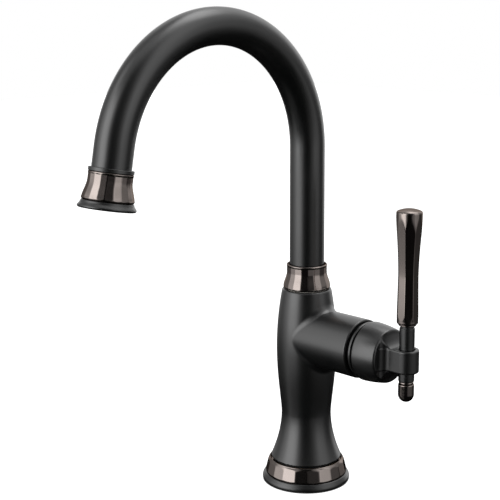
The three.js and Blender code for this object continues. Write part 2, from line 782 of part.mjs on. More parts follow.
function finial() {
  const foot = finialTop - finialLength;
  const outline = new THREE.Path();
  outline.moveTo(0, foot);
  outline.absarc(0, foot + finialRadius, finialRadius, -Math.PI / 2, 0, false);
  outline.lineTo(finialRadius, finialTop - 0.6);
  outline.lineTo(finialRadius - 0.6, finialTop);
  outline.lineTo(0, finialTop);
  const rodEnd = finialTop - finialRodDepth - 0.5;
  return cut(revolve(outline, mediumSides), rod(leverBore, rodEnd, finialTop + 1));
}

// --- Spout pieces -----------------------------------------------------------------------------

// The tube's centre line: up from the body, over the arch, then straight to the tube's end.
class GooseneckCurve extends THREE.Curve {
  constructor() {
    super();
    this.riser = archHeight - tubeFoot;
    this.arch = archRadius * archAngle;
    this.length = this.riser + this.arch + outletRun + tubeEnd;
  }

  getPoint(share, target = new THREE.Vector3()) {
    const run = share * this.length;
    if (run < this.riser) return target.set(0, 0, tubeFoot + run);
    const angle = Math.min((run - this.riser) / archRadius, archAngle);
    const rest = Math.max(0, run - this.riser - this.arch);
    return target.set(
      0,
      -archRadius * (1 - Math.cos(angle)) - rest * Math.sin(angle),
      archHeight + archRadius * Math.sin(angle) + rest * Math.cos(angle),
    );
  }
}

function spoutTube() {
  const section = new THREE.Shape();
  section.absarc(0, 0, tubeRadius, 0, 2 * Math.PI, false);
  const hole = new THREE.Path();
  hole.absarc(0, 0, tubeBore, 0, 2 * Math.PI, true);
  section.holes.push(hole);
  return new THREE.ExtrudeGeometry(section, {
    steps: 32,
    curveSegments: 9,
    extrudePath: new GooseneckCurve(),
  });
}

// The collar, the ring and the outlet shell lie along the flow, in the outlet's own frame.
function placeOutlet(group) {
  group.position.set(
    0,
    -archRadius * (1 - Math.cos(archAngle)) - outletRun * Math.sin(archAngle),
    archHeight + archRadius * Math.sin(archAngle) + outletRun * Math.cos(archAngle),
  );
  group.rotation.x = archAngle;
}

function spoutRing() {
  return flaredRing(tubeRadius + 2 * slipGap, spoutRingFootRadius, spoutRingLipRadius,
    spoutRingHeight).translate(0, 0, spoutFoot);
}

// The brass nipple: brazed into the tube above, with seal and clip grooves in the body's socket.
function spoutShank() {
  const top = tubeFoot + shankOverlap;
  const shoulder = tubeFoot - seatGap;
  const outline = [[shankBore, shankFoot], [shankRadius, shankFoot]];
  for (const level of sealLevels) {
    const middle = shankFoot + level;
    const half = sealGroove.width / 2;
    outline.push([shankRadius, middle - half], [shankRadius - sealGroove.depth, middle - half]);
    outline.push([shankRadius - sealGroove.depth, middle + half], [shankRadius, middle + half]);
  }
  const clipFoot = shankFoot + clipLevel - slipGap;
  const clipTop = shankFoot + clipLevel + clipThickness + slipGap;
  outline.push([shankRadius, clipFoot], [shankRadius - 1.2, clipFoot]);
  outline.push([shankRadius - 1.2, clipTop], [shankRadius, clipTop]);
  outline.push([shankRadius, shoulder], [tubeBore - slipGap, shoulder]);
  outline.push([tubeBore - slipGap, top], [shankBore, top]);
  return revolve(outline, mediumSides);
}

function oRing(level) {
  const middle = shankFoot + level;
  const half = sealGroove.width / 2 - sealGap;
  const bore = shankRadius - sealGroove.depth + sealGap;
  const radius = socketRadius - sealGap;
  return revolve([
    [bore, middle - half * 0.5], [bore + 0.5, middle - half], [radius - 0.5, middle - half],
    [radius, middle - half * 0.5], [radius, middle + half * 0.5], [radius - 0.5, middle + half],
    [bore + 0.5, middle + half], [bore, middle + half * 0.5],
  ]);
}

function spoutClip() {
  const bore = shankRadius - 1.2 + sealGap;
  const shape = new THREE.Shape();
  shape.absarc(0, 0, clipRadius, clipOpening / 2, 2 * Math.PI - clipOpening / 2, false);
  shape.absarc(0, 0, bore, 2 * Math.PI - clipOpening / 2, clipOpening / 2, true);
  return new THREE.ExtrudeGeometry(shape, {
    depth: clipThickness, bevelEnabled: false, curveSegments: 10,
  }).translate(0, 0, shankFoot + clipLevel);
}

function glideRing() {
  const from = bodyTop - glideDepth + seatGap;
  return ring(shankRadius + slipGap, glideRadius, from, spoutFoot - seatGap);
}

// --- Outlet pieces, along the flow -------------------------------------------------------------

function nozzleCollar() {
  return ring(tubeRadius + slipGap, nozzleCollarRadius, 0, nozzleCollarHeight);
}

// The ring's lip is at the tube's side, so the flare opens with the flow.
function nozzleRing() {
  return flaredRing(tubeRadius + 2 * slipGap, nozzleRingFootRadius, nozzleRingLipRadius,
    nozzleRingHeight).rotateX(Math.PI).translate(0, 0, nozzleRingStart + nozzleRingHeight);
}

function aeratorShell() {
  const neckTop = aeratorStart - aeratorNeckLength;
  const lipBore = aeratorRimRadius - 2;
  return revolve([
    [aeratorBore, neckTop], [aeratorNeckRadius, neckTop], [aeratorNeckRadius, aeratorStart],
    [aeratorTopRadius, aeratorStart],
    [aeratorTopRadius + 0.5, aeratorStart + aeratorHeight * 0.45],
    [aeratorRimRadius - 0.2, aeratorEnd - aeratorRim], [aeratorRimRadius, aeratorEnd - aeratorRim],
    [aeratorRimRadius, aeratorEnd], [lipBore, aeratorEnd], [lipBore - 1, aeratorEnd - aeratorRim],
    [aeratorBore, aeratorEnd - aeratorRim],
  ]);
}

function holesOnCircle(count, circle, radius, from, to) {
  return Array.from({ length: count }, (_, i) => {
    const angle = 2 * Math.PI * i / count;
    return rod(radius, from, to, 8).translate(circle * Math.cos(angle), circle * Math.sin(angle), 0);
  });
}

function aeratorBody() {
  const from = aeratorStart - aeratorNeckLength + outletGap;
  const to = screenTop - screenThickness - outletGap;
  return cut(rod(aeratorInsertRadius, from, to, mediumSides),
    ...holesOnCircle(aeratorHoles, aeratorFlow, aeratorHoleRadius, from - 1, to + 1));
}

function aeratorScreen() {
  const from = screenTop - screenThickness;
  return cut(rod(aeratorInsertRadius, from, screenTop, mediumSides),
    ...holesOnCircle(aeratorHoles, aeratorFlow, screenHoleRadius, from - 1, screenTop + 1),
    ...holesOnCircle(aeratorHoles / 2, aeratorFlow / 2, screenHoleRadius, from - 1, screenTop + 1));
}

function aeratorWasher() {
  const to = aeratorStart - aeratorNeckLength - outletGap;
  const bore = aeratorFlow + aeratorHoleRadius;
  return ring(bore, aeratorNeckRadius, to - washerThickness, to, mediumSides);
}

// --- Assembly ---------------------------------------------------------------------------------

function add(group, name, geometry, material) {
  const mesh = new THREE.Mesh(geometry, material);
  mesh.name = name;
  group.add(mesh);
}

const faucet = new THREE.Group();

const base = new THREE.Group();
add(base, 'base_gasket', baseGasket(), rubber);
add(base, 'base_flange', baseFlange(), matteBlack);
add(base, 'base_ring', baseRing(), darkMetal);
add(base, 'base_insert', baseInsert(), brass);
add(base, 'body', body(), matteBlack);
add(base, 'hot_supply_tube', supplyTube(-1), copper);
add(base, 'cold_supply_tube', supplyTube(1), copper);
add(base, 'hot_tube_seal', tubeSeal(-1), rubber);
add(base, 'cold_tube_seal', tubeSeal(1), rubber);
add(base, 'glide_ring', glideRing(), nylon);
faucet.add(base);

const valve = new THREE.Group();
valve.position.z = valveHeight;
add(valve, 'cartridge_base', cartridgeBase(), plastic);
add(valve, 'hot_port_seal', portSeal('hot'), rubber);
add(valve, 'cold_port_seal', portSeal('cold'), rubber);
add(valve, 'outlet_port_seal', portSeal('outlet'), rubber);
add(valve, 'fixed_disc', fixedDisc(), ceramic);
add(valve, 'moving_disc', movingDisc(), ceramic);
add(valve, 'disc_carrier', discCarrier(), nylon);
add(valve, 'turret', turret(), nylon);
add(valve, 'hinge_pin', hingePin(), steel);
add(valve, 'cartridge_housing', cartridgeHousing(), plastic);
add(valve, 'bonnet_nut', bonnetNut(), brass);
add(valve, 'bonnet_ring', bonnetRing(), matteBlack);
faucet.add(valve);

const handle = new THREE.Group();
handle.position.z = valveHeight;
add(handle, 'cartridge_stem', cartridgeStem(), brass);
add(handle, 'handle_cap', handleCap(), matteBlack);
add(handle, 'set_screw', setScrew(), steel);
add(handle, 'screw_plug', screwPlug(), matteBlack);

const lever = new THREE.Group();
lever.position.x = knuckleReach;
add(lever, 'lever_stem', leverStem(), matteBlack);
add(lever, 'grip_collar', gripCollar(), darkMetal);
add(lever, 'lever_grip', leverGrip(), darkMetal);
add(lever, 'lower_collar', lowerCollar(), matteBlack);
add(lever, 'finial_ring', finialRing(), darkMetal);
add(lever, 'finial', finial(), darkMetal);
handle.add(lever);
faucet.add(handle);

const spout = new THREE.Group();
add(spout, 'spout_tube', spoutTube(), matteBlack);
add(spout, 'spout_ring', spoutRing(), darkMetal);
add(spout, 'spout_shank', spoutShank(), brass);
add(spout, 'lower_o_ring', oRing(sealLevels[0]), rubber);
add(spout, 'upper_o_ring', oRing(sealLevels[1]), rubber);
add(spout, 'spout_clip', spoutClip(), steel);

const outlet = new THREE.Group();
placeOutlet(outlet);
add(outlet, 'nozzle_collar', nozzleCollar(), matteBlack);
add(outlet, 'nozzle_ring', nozzleRing(), darkMetal);
add(outlet, 'aerator_shell', aeratorShell(), matteBlack);
add(outlet, 'aerator_body', aeratorBody(), nylon);
add(outlet, 'aerator_screen', aeratorScreen(), steel);
add(outlet, 'aerator_washer', aeratorWasher(), rubber);
spout.add(outlet);
faucet.add(spout);

export default faucet;
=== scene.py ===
# %% [markdown]
# # A gooseneck bar faucet
# This lesson dresses the measured frame of a bar faucet with its real surfaces: satin black
# castings, faceted rings and a faceted grip in dark polished metal, and a swan-necked tube.
# The frame gives the size and the place of every part. The looks are made here, in millimetres,
# and turned into metres only when a mesh is written.

import json
import math

import bmesh
import bpy
import numpy as np
from mathutils import Matrix, Vector

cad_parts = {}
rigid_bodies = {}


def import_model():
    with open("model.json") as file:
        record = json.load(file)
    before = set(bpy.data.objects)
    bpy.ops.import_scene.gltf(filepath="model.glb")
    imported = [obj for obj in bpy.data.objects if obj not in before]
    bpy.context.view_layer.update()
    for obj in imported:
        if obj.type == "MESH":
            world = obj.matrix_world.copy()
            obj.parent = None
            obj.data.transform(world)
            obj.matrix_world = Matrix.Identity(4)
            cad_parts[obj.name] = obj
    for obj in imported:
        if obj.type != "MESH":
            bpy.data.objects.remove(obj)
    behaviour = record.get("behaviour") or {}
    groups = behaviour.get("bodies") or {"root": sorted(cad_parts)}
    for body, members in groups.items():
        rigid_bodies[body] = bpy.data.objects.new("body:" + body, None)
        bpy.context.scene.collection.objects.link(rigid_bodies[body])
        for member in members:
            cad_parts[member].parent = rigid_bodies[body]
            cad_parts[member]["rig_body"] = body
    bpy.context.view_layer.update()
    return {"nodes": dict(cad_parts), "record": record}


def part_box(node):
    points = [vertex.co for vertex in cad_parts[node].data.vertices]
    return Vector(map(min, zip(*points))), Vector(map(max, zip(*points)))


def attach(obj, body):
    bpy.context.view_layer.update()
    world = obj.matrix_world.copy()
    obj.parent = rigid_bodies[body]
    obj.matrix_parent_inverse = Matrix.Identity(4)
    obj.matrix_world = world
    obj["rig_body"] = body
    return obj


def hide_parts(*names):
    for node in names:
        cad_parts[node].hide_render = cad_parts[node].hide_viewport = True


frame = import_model()
MM = 0.001


def span(node):
    """Lowest and highest corner of one part of the frame, in millimetres."""
    low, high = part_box(node)
    return np.array(low) / MM, np.array(high) / MM


# %% [markdown]
# ## Places
# The tap is built on three axes: the upright axis of the body, the level axis of the valve and
# the flow through the outlet. The valve's height and the lever's reach are read from the frame.
# The swan neck is a straight riser, a round arch and a short straight outlet, so one formula
# gives its middle line.

# %% The axes
bead_low, bead_high = span("bonnet_ring")
VALVE_HEIGHT = float(bead_low[2] + bead_high[2]) / 2
stem_low, stem_high = span("lever_stem")
LEVER_REACH = float(stem_low[0] + stem_high[0]) / 2

ARCH_RADIUS = 91.2
ARCH_ANGLE = math.radians(169.5)
OUTLET_RUN = 14.0
TUBE_RADIUS = 13.1
TUBE_WALL = 1.2
TUBE_END = 19.4
tube_low, tube_high = span("spout_tube")
TUBE_FOOT = float(tube_low[2])
ARCH_HEIGHT = float(tube_high[2]) - ARCH_RADIUS - TUBE_RADIUS

RISER = ARCH_HEIGHT - TUBE_FOOT
TUBE_LENGTH = RISER + ARCH_RADIUS * ARCH_ANGLE + OUTLET_RUN + TUBE_END
outlet_middle = Vector((
    0,
    -ARCH_RADIUS * (1 - math.cos(ARCH_ANGLE)) - OUTLET_RUN * math.sin(ARCH_ANGLE),
    ARCH_HEIGHT + ARCH_RADIUS * math.sin(ARCH_ANGLE) + OUTLET_RUN * math.cos(ARCH_ANGLE),
))
UPRIGHT = Matrix.Identity(4)
OUTLET = Matrix.Translation(outlet_middle) @ Matrix.Rotation(ARCH_ANGLE, 4, "X")
LEVER = Matrix.Translation((LEVER_REACH, 0, VALVE_HEIGHT))
VALVE = Matrix.Translation((0, 0, VALVE_HEIGHT)) @ Matrix.Rotation(math.pi / 2, 4, "Y")
print("valve height", round(VALVE_HEIGHT, 2), "outlet", [round(v, 1) for v in outlet_middle])

# %% [markdown]
# ## Shader groups
# Two effects come back in most finishes: a fine grain in the surface, and soft marks from
# handling and cleaning. Each is a node group with named inputs, so that every finish sets its
# own scale. A group only puts out a height or a mask. The shader itself stays in the material.


# %% Setting inputs
def put(node, **values):
    """Sets inputs of a node by their labels, written with _ for a space."""
    for label, value in values.items():
        node.inputs[label.replace("_", " ")].default_value = value


# %% A group with its inputs and outputs
def new_group(name, inputs, output):
    """An empty shader group with inputs (label, socket kind, value) and one number put out."""
    group = bpy.data.node_groups.new(name, "ShaderNodeTree")
    for label, kind, value in inputs:
        socket = group.interface.new_socket(label, in_out="INPUT", socket_type=kind)
        if value is not None:
            socket.default_value = value
    group.interface.new_socket(output, in_out="OUTPUT", socket_type="NodeSocketFloat")
    return group, group.nodes.new("NodeGroupInput"), group.nodes.new("NodeGroupOutput")


def fine_grain_group():
    """A height like sprayed satin coating: a small grain over a larger, softer one."""
    group, entry, leave = new_group("fine grain", [
        ("Vector", "NodeSocketVector", None),
        ("Grains per metre", "NodeSocketFloat", 1800.0),
    ], "Height")
    link = group.links.new
    small = group.nodes.new("ShaderNodeTexNoise")
    put(small, Detail=3.0, Roughness=0.6)
    link(entry.outputs["Vector"], small.inputs["Vector"])
    link(entry.outputs["Grains per metre"], small.inputs["Scale"])
    link(small.outputs["Fac"], leave.inputs["Height"])
    return group


def handling_group():
    """A mask of broad soft patches, as left by wiping and by fingers."""
    group, entry, leave = new_group("handling marks", [
        ("Vector", "NodeSocketVector", None),
        ("Patches per metre", "NodeSocketFloat", 25.0),
    ], "Mask")
    link = group.links.new
    patches = group.nodes.new("ShaderNodeTexNoise")
    put(patches, Detail=4.0, Distortion=0.6)
    spread = group.nodes.new("ShaderNodeMapRange")
    spread.interpolation_type = "SMOOTHSTEP"
    put(spread, From_Min=0.35, From_Max=0.65)
    link(entry.outputs["Vector"], patches.inputs["Vector"])
    link(entry.outputs["Patches per metre"], patches.inputs["Scale"])
    link(patches.outputs["Fac"], spread.inputs["Value"])
    link(spread.outputs["Result"], leave.inputs["Mask"])
    return group


FINE_GRAIN = fine_grain_group()
HANDLING = handling_group()
print("shader groups:", FINE_GRAIN.name, "and", HANDLING.name)

# %% [markdown]
# ## Finishes
# Every finish starts from the same short recipe: two close colours mixed by the handling mask,
# a roughness that the same mask moves between two values, and a bump from the fine grain. Each
# material then sets what is the same all over on its own shader.


# %% The recipe of a finish
def finish(name, clean, marked, rough, grain, depth, patches=25.0):
    """A material whose colour and roughness vary softly, with a fine grain in its surface.

    The colours are for clean and marked places, rough holds the roughness of both, grain
    and patches are counts per metre, and depth is the height of the grain in millimetres.
    """
    material = bpy.data.materials.new(name)
    material.use_nodes = True
    tree = material.node_tree
    add, link = tree.nodes.new, tree.links.new
    shader = tree.nodes["Principled BSDF"]
    place = add("ShaderNodeTexCoord").outputs["Object"]

    marks = add("ShaderNodeGroup")
    marks.node_tree = HANDLING
    put(marks, Patches_per_metre=patches)
    link(place, marks.inputs["Vector"])

    colours = add("ShaderNodeMix")
    colours.data_type = "RGBA"
    put(colours, A=(*clean, 1.0), B=(*marked, 1.0))
    link(marks.outputs["Mask"], colours.inputs["Factor"])
    link(colours.outputs["Result"], shader.inputs["Base Color"])

    sheen = add("ShaderNodeMapRange")
    put(sheen, To_Min=rough[0], To_Max=rough[1])
    link(marks.outputs["Mask"], sheen.inputs["Value"])
    link(sheen.outputs["Result"], shader.inputs["Roughness"])

    grains = add("ShaderNodeGroup")
    grains.node_tree = FINE_GRAIN
    put(grains, Grains_per_metre=grain)
    link(place, grains.inputs["Vector"])
    bump = add("ShaderNodeBump")
    put(bump, Strength=0.5, Distance=depth * MM)
    link(grains.outputs["Height"], bump.inputs["Height"])
    link(bump.outputs["Normal"], shader.inputs["Normal"])
    return material, shader


def satin_black():
    """A sprayed satin coating on cast brass: near black, with a strong soft gloss."""
    material, shader = finish("satin black coating", (0.0020, 0.0024, 0.0025),
                              (0.0028, 0.0032, 0.0033), (0.31, 0.35), 1500.0, 0.002)
    put(shader, IOR=1.85)
    return material


def dark_metal():
    """Polished dark bronze plating on the turned and faceted parts."""
    material, shader = finish("dark polished metal", (0.295, 0.257, 0.239),
                              (0.270, 0.235, 0.219), (0.11, 0.15), 2500.0, 0.0004, 40.0)
    put(shader, Metallic=1.0, Specular_Tint=(0.40, 0.37, 0.35, 1.0))
    return material


def machined(name, clean, marked, rough):
    """A bare machined metal, for the parts inside."""
    material, shader = finish(name, clean, marked, rough, 3000.0, 0.002)
    put(shader, Metallic=1.0)
    return material


def moulded(name, clean, marked, rough):
    """A moulded plastic, rubber or ceramic part inside the valve."""
    return finish(name, clean, marked, rough, 1200.0, 0.004)[0]


FINISHES = {
    "matte_black": satin_black(),
    "dark_metal": dark_metal(),
    "brass": machined("machined brass", (0.60, 0.44, 0.18), (0.52, 0.37, 0.14), (0.25, 0.38)),
    "copper": machined("drawn copper", (0.62, 0.30, 0.17), (0.50, 0.22, 0.12), (0.28, 0.42)),
    "steel": machined("stainless steel", (0.55, 0.56, 0.57), (0.48, 0.49, 0.50), (0.22, 0.34)),
    "rubber": moulded("black rubber", (0.012, 0.012, 0.012), (0.02, 0.02, 0.02), (0.6, 0.75)),
    "ceramic": moulded("lapped ceramic", (0.85, 0.84, 0.80), (0.80, 0.79, 0.75), (0.12, 0.2)),
    "nylon": moulded("moulded nylon", (0.72, 0.70, 0.64), (0.66, 0.64, 0.58), (0.4, 0.5)),
    "cartridge_plastic": moulded("cartridge plastic", (0.03, 0.035, 0.04),
                                 (0.04, 0.045, 0.05), (0.35, 0.45)),
}
print("finishes:", ", ".join(FINISHES))

# %% [markdown]
# ## From points to a piece
# A finished piece is one mesh at the origin, in metres, that rides on a body of the frame and
# stands for the plain part there. One helper does this for every piece. It marks edges sharper
# than a limit, so that soft rounds shade smoothly and true edges stay crisp.


# %% Meshes and pieces
def mesh_from(name, points, faces):
    """A mesh from lists of points, in metres, and of faces."""
    mesh = bpy.data.meshes.new(name)
    mesh.from_pydata(np.asarray(points, float).tolist(), [], [tuple(f) for f in faces])
    mesh.update()
    return mesh


def add_object(name, data):
    """A new object, linked into the scene."""
    item = bpy.data.objects.new(name, data)
    bpy.context.scene.collection.objects.link(item)
    return item


def add_piece(name, mesh, node, slot, edge=None):
    """Puts a mesh, in metres, into the scene in the place of one part of the frame.

    Edges that bend by more than the angle edge, in degrees, stay crisp.
    """
    piece = add_object(name, mesh)
    mesh.materials.clear()
    mesh.materials.append(FINISHES[slot])
    if edge is not None:
        mesh.shade_smooth()
        mesh.set_sharp_from_angle(angle=math.radians(edge))
    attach(piece, frame["nodes"][node]["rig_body"])
    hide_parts(node)
    print(f"{name}: {len(mesh.polygons)} faces for {node}")
    return piece


# %% [markdown]
# ## Turned pieces
# Collars, seals, the stem and the finial are turned on a lathe. Their outline is a short list of
# corners, each with the radius of its rounding. An arc replaces each corner, and a holding
# point just past each arc keeps the flat next to it flat in the shading.


# %% Rounded outlines
ARC_STEP = math.radians(12)
HOLD = 0.12


def soften(corners, closed=True):
    """An outline with its corners (radius, height, rounding) replaced by arcs."""
    count = len(corners)
    outline = []
    for i, (radius, height, rounding) in enumerate(corners):
        here = np.array([radius, height], float)
        is_end = not closed and i in (0, count - 1)
        if is_end or rounding <= 0:
            outline.append(here)
            continue
        before = np.array(corners[i - 1][:2], float) - here
        after = np.array(corners[(i + 1) % count][:2], float) - here
        room = min(np.linalg.norm(before), np.linalg.norm(after))
        before, after = before / np.linalg.norm(before), after / np.linalg.norm(after)
        half = math.acos(float(np.clip(before @ after, -1, 1))) / 2
        reach = min(rounding / math.tan(half), room - HOLD)
        arc_radius = reach * math.tan(half)
        bisector = (before + after) / np.linalg.norm(before + after)
        middle = here + bisector * arc_radius / math.sin(half)
        start, end = here + before * reach, here + after * reach
        turn = math.pi - 2 * half
        steps = max(2, math.ceil(turn / ARC_STEP))
        outline.append(start + before * HOLD)
        for k in range(steps + 1):
            share = k / steps
            a, b = start - middle, end - middle
            weight_a = math.sin((1 - share) * turn) / math.sin(turn)
            weight_b = math.sin(share * turn) / math.sin(turn)
            outline.append(middle + a * weight_a + b * weight_b)
        outline.append(end + after * HOLD)
    return outline


# %% The lathe
LATHE_SIDES = 96
TURNED_EDGE = 40


def turned(name, node, slot, corners, place=UPRIGHT, closed=True):
    """A solid of revolution. An open outline starts and ends on the axis."""
    outline = soften(corners, closed)
    points, rings = [], []
    for radius, height in outline:
        if radius < 1e-6:
            rings.append([len(points)])
            points.append((0, 0, height))
            continue
        rings.append(list(range(len(points), len(points) + LATHE_SIDES)))
        for k in range(LATHE_SIDES):
            angle = 2 * math.pi * k / LATHE_SIDES
            points.append((radius * math.cos(angle), radius * math.sin(angle), height))
    faces = []
    for lower, upper in zip(rings, rings[1:] + (rings[:1] if closed else [])):
        for k in range(LATHE_SIDES):
            n = (k + 1) % LATHE_SIDES
            if len(lower) == 1:
                faces.append((lower[0], upper[n], upper[k]))
            elif len(upper) == 1:
                faces.append((lower[k], lower[n], upper[0]))
            else:
                faces.append((lower[k], lower[n], upper[n], upper[k]))
    mesh = mesh_from(name, points, faces)
    mesh.transform(Matrix.Scale(MM, 4) @ place)
    face_outwards(mesh)
    return add_piece(name, mesh, node, slot, TURNED_EDGE)


def face_outwards(mesh, closed=True):
    """Turns every face of a mesh to the outside, and checks a closed one by its volume."""
    work = bmesh.new()
    work.from_mesh(mesh)
    bmesh.ops.recalc_face_normals(work, faces=work.faces)
    if closed and work.calc_volume(signed=True) < 0:
        bmesh.ops.reverse_faces(work, faces=work.faces)
    work.to_mesh(mesh)
    work.free()
    mesh.update()


# %% [markdown]
# ## The foot
# The tap stands on a thin rubber seal under a flange. The flange is a low bell-shaped band, so
# its side is a gentle curve between two small roundings.

# %% Seal and flange
FOOT_BORE = 24.3
SEAL_RADIUS, FLANGE_RADIUS = 33.7, 33.8
seal_top = float(span("base_gasket")[1][2])
turned("deck_seal", "base_gasket", "rubber", [
    (FOOT_BORE, 0, 0.1), (SEAL_RADIUS, 0, 0.2), (SEAL_RADIUS, seal_top, 0.2),
    (FOOT_BORE, seal_top, 0.1),
])

flange_foot, flange_top = (float(v[2]) for v in span("base_flange"))
turned("foot_flange", "base_flange", "matte_black", [
    (FOOT_BORE, flange_foot, 0.2), (FLANGE_RADIUS, flange_foot, 0.7),
    (FLANGE_RADIUS, flange_foot + 2.1, 3.8), (32.0, flange_top, 1.0),
    (FOOT_BORE, flange_top, 0.2),
])

# %% [markdown]
# ## Faceted rings
# The three dark rings have twenty flats cut into a turned round. A flat and a round meet where
# both are equally far from the axis, so one wedge is made by a rule: each point lies on the
# round or on the flat, whichever is nearer, with a narrow blend where they meet. Geometry Nodes
# then set twenty wedges round the axis, join them and give the ring its finish. The same tree
# makes the grip from eight wedges.


# %% Wedges set round an axis
JOIN_DISTANCE = 2e-6
FACET_EDGE = 50


def input_socket(tree, name, kind):
    """A named input of a Geometry Nodes tree."""
    return tree.interface.new_socket(name, in_out="INPUT", socket_type=kind)


def step(tree, operation, *values):
    """One Math node, with numbers or sockets as its inputs."""
    node = tree.nodes.new("ShaderNodeMath")
    node.operation = operation
    for socket, value in zip(node.inputs, values):
        if isinstance(value, bpy.types.NodeSocket):
            tree.links.new(value, socket)
        else:
            socket.default_value = value
    return node.outputs[0]


def round_of_wedges_tree():
    """Geometry Nodes: copies of a wedge turned round Z, joined along their sides."""
    tree = bpy.data.node_groups.new("round of wedges", "GeometryNodeTree")
    input_socket(tree, "Wedge", "NodeSocketGeometry")
    input_socket(tree, "Count", "NodeSocketInt")
    input_socket(tree, "Join distance", "NodeSocketFloat")
    input_socket(tree, "Finish", "NodeSocketMaterial")
    tree.interface.new_socket("Round", in_out="OUTPUT", socket_type="NodeSocketGeometry")
    add, link = tree.nodes.new, tree.links.new
    entry, leave = add("NodeGroupInput"), add("NodeGroupOutput")

    points = add("GeometryNodePoints")
    link(entry.outputs["Count"], points.inputs["Count"])
    pitch = step(tree, "DIVIDE", 2 * math.pi, entry.outputs["Count"])
    index = add("GeometryNodeInputIndex").outputs["Index"]
    rotation = add("ShaderNodeCombineXYZ")
    link(step(tree, "MULTIPLY", index, pitch), rotation.inputs["Z"])

    copies = add("GeometryNodeInstanceOnPoints")
    link(points.outputs[0], copies.inputs["Points"])
    link(entry.outputs["Wedge"], copies.inputs["Instance"])
    link(rotation.outputs[0], copies.inputs["Rotation"])
    real = add("GeometryNodeRealizeInstances")
    link(copies.outputs[0], real.inputs[0])
    joined = add("GeometryNodeMergeByDistance")
    link(real.outputs[0], joined.inputs["Geometry"])
    link(entry.outputs["Join distance"], joined.inputs["Distance"])
    painted = add("GeometryNodeSetMaterial")
    link(joined.outputs[0], painted.inputs["Geometry"])
    link(entry.outputs["Finish"], painted.inputs["Material"])
    link(painted.outputs[0], leave.inputs[0])
    return tree


ROUND_OF_WEDGES = round_of_wedges_tree()


def run_tree(source, tree, values):
    """Runs a Geometry Nodes tree on an object and returns the finished mesh."""
    modifier = source.modifiers.new("shape", "NODES")
    modifier.node_group = tree
    for item in tree.interface.items_tree:
        if item.item_type == "SOCKET" and item.in_out == "INPUT" and item.name in values:
            modifier[item.identifier] = values[item.name]
    graph = bpy.context.evaluated_depsgraph_get()
    graph.update()
    mesh = bpy.data.meshes.new_from_object(source.evaluated_get(graph))
    source.modifiers.remove(modifier)
    bpy.data.objects.remove(source)
    return mesh


# %% The rule for a wedge
RIDGE = 0.05
CROWDING = 1.6
GRIP_BLEND, RING_BLEND = 0.3, 0.12


def soft_min(a, b, width):
    """The smaller of two distances, blended where they are within a width of each other."""
    near = np.maximum(width - np.abs(a - b), 0) / width
    return np.minimum(a, b) - near * near * width / 4


def wedge_columns(half_angle, columns):
    """Angles across one flat, closer together at the ridges."""
    even = np.linspace(-1, 1, columns)
    dense = np.sign(even) * (1 - (1 - np.abs(even)) ** CROWDING)
    return dense * half_angle


def wedge_mesh(name, section, flat, sides, columns, closed, blend):
    """One wedge from its section (radius, height) and the distance to its flat per height."""
    half = math.pi / sides
    angles = wedge_columns(half, columns)
    rounds = np.array([p[0] for p in section])[:, None]
    heights = np.array([p[1] for p in section])[:, None]
    flats = flat(heights) / np.cos(angles)[None, :]
    corner = flat(heights) / math.cos(half) - RIDGE
    radii = soft_min(soft_min(flats, corner, RIDGE), rounds, blend)
    radii = np.where(rounds < flat(heights) - blend, rounds, radii)
    x = radii * np.cos(angles)
    y = radii * np.sin(angles)
    z = np.broadcast_to(heights, radii.shape)
    points = np.stack([x, y, z], -1).reshape(-1, 3) * MM
    rows = len(section)
    faces = []
    for j in range(rows if closed else rows - 1):
        for k in range(columns - 1):
            a, b = j * columns + k, ((j + 1) % rows) * columns + k
            faces.append((a, a + 1, b + 1, b))
    return mesh_from(name, points, faces)


def set_round(name, wedge, count, slot, node, place):
    """The finished piece: a number of wedges round the axis, put in their place."""
    source = add_object(name + "_wedge", wedge)
    mesh = run_tree(source, ROUND_OF_WEDGES, {
        "Count": count, "Join distance": JOIN_DISTANCE, "Finish": FINISHES[slot],
    })
    mesh.transform(Matrix.Scale(MM, 4) @ place @ Matrix.Scale(1 / MM, 4))
    face_outwards(mesh)
    return add_piece(name, mesh, node, slot, FACET_EDGE)


# %% [markdown]
# A ring's section runs up its outside from a rounded foot to a rounded lip, and its top is
# dished. The foot ring is a cone whose lip leans in, with flats from edge to edge. The neck and
# outlet rings swell in an S-curve from a slim waist to the foot, and their flats end in
# scallops above the foot and below the lip.

# %% The sides and sections of the rings
FLATS = 20
RING_COLUMNS = 17
RING_GAP = 0.6
FOOT_ROUND, FOOT_RISE = 1.1, 1.6
FOOT_BAND, LIP_BAND, LEAN_BAND = 2.2, 2.0, 3.0
WAIST_IN = 0.25
RECESS_IN = 1.9
DISH_STEP = 0.8
FLAT_DEPTH = 0.04


def cone_side(foot, lip, height):
    """A ring that narrows evenly from its foot to its lip."""
    return lambda z: lip + (foot - lip) * np.clip(1 - z / height, 0, 1)


def flared_side(foot, lip, height, start, run):
    """A ring that swells in an S-curve from a slim waist to its foot, over part of its height."""
    waist = lip - WAIST_IN

    def side(z):
        share = np.clip((z / height - start) / run, 0, 1)
        lean = np.clip((z - height + LIP_BAND) / LIP_BAND, 0, 1)
        return foot - (foot - waist) * share ** 2 * (3 - 2 * share) + (lip - waist) * lean ** 2

    return side


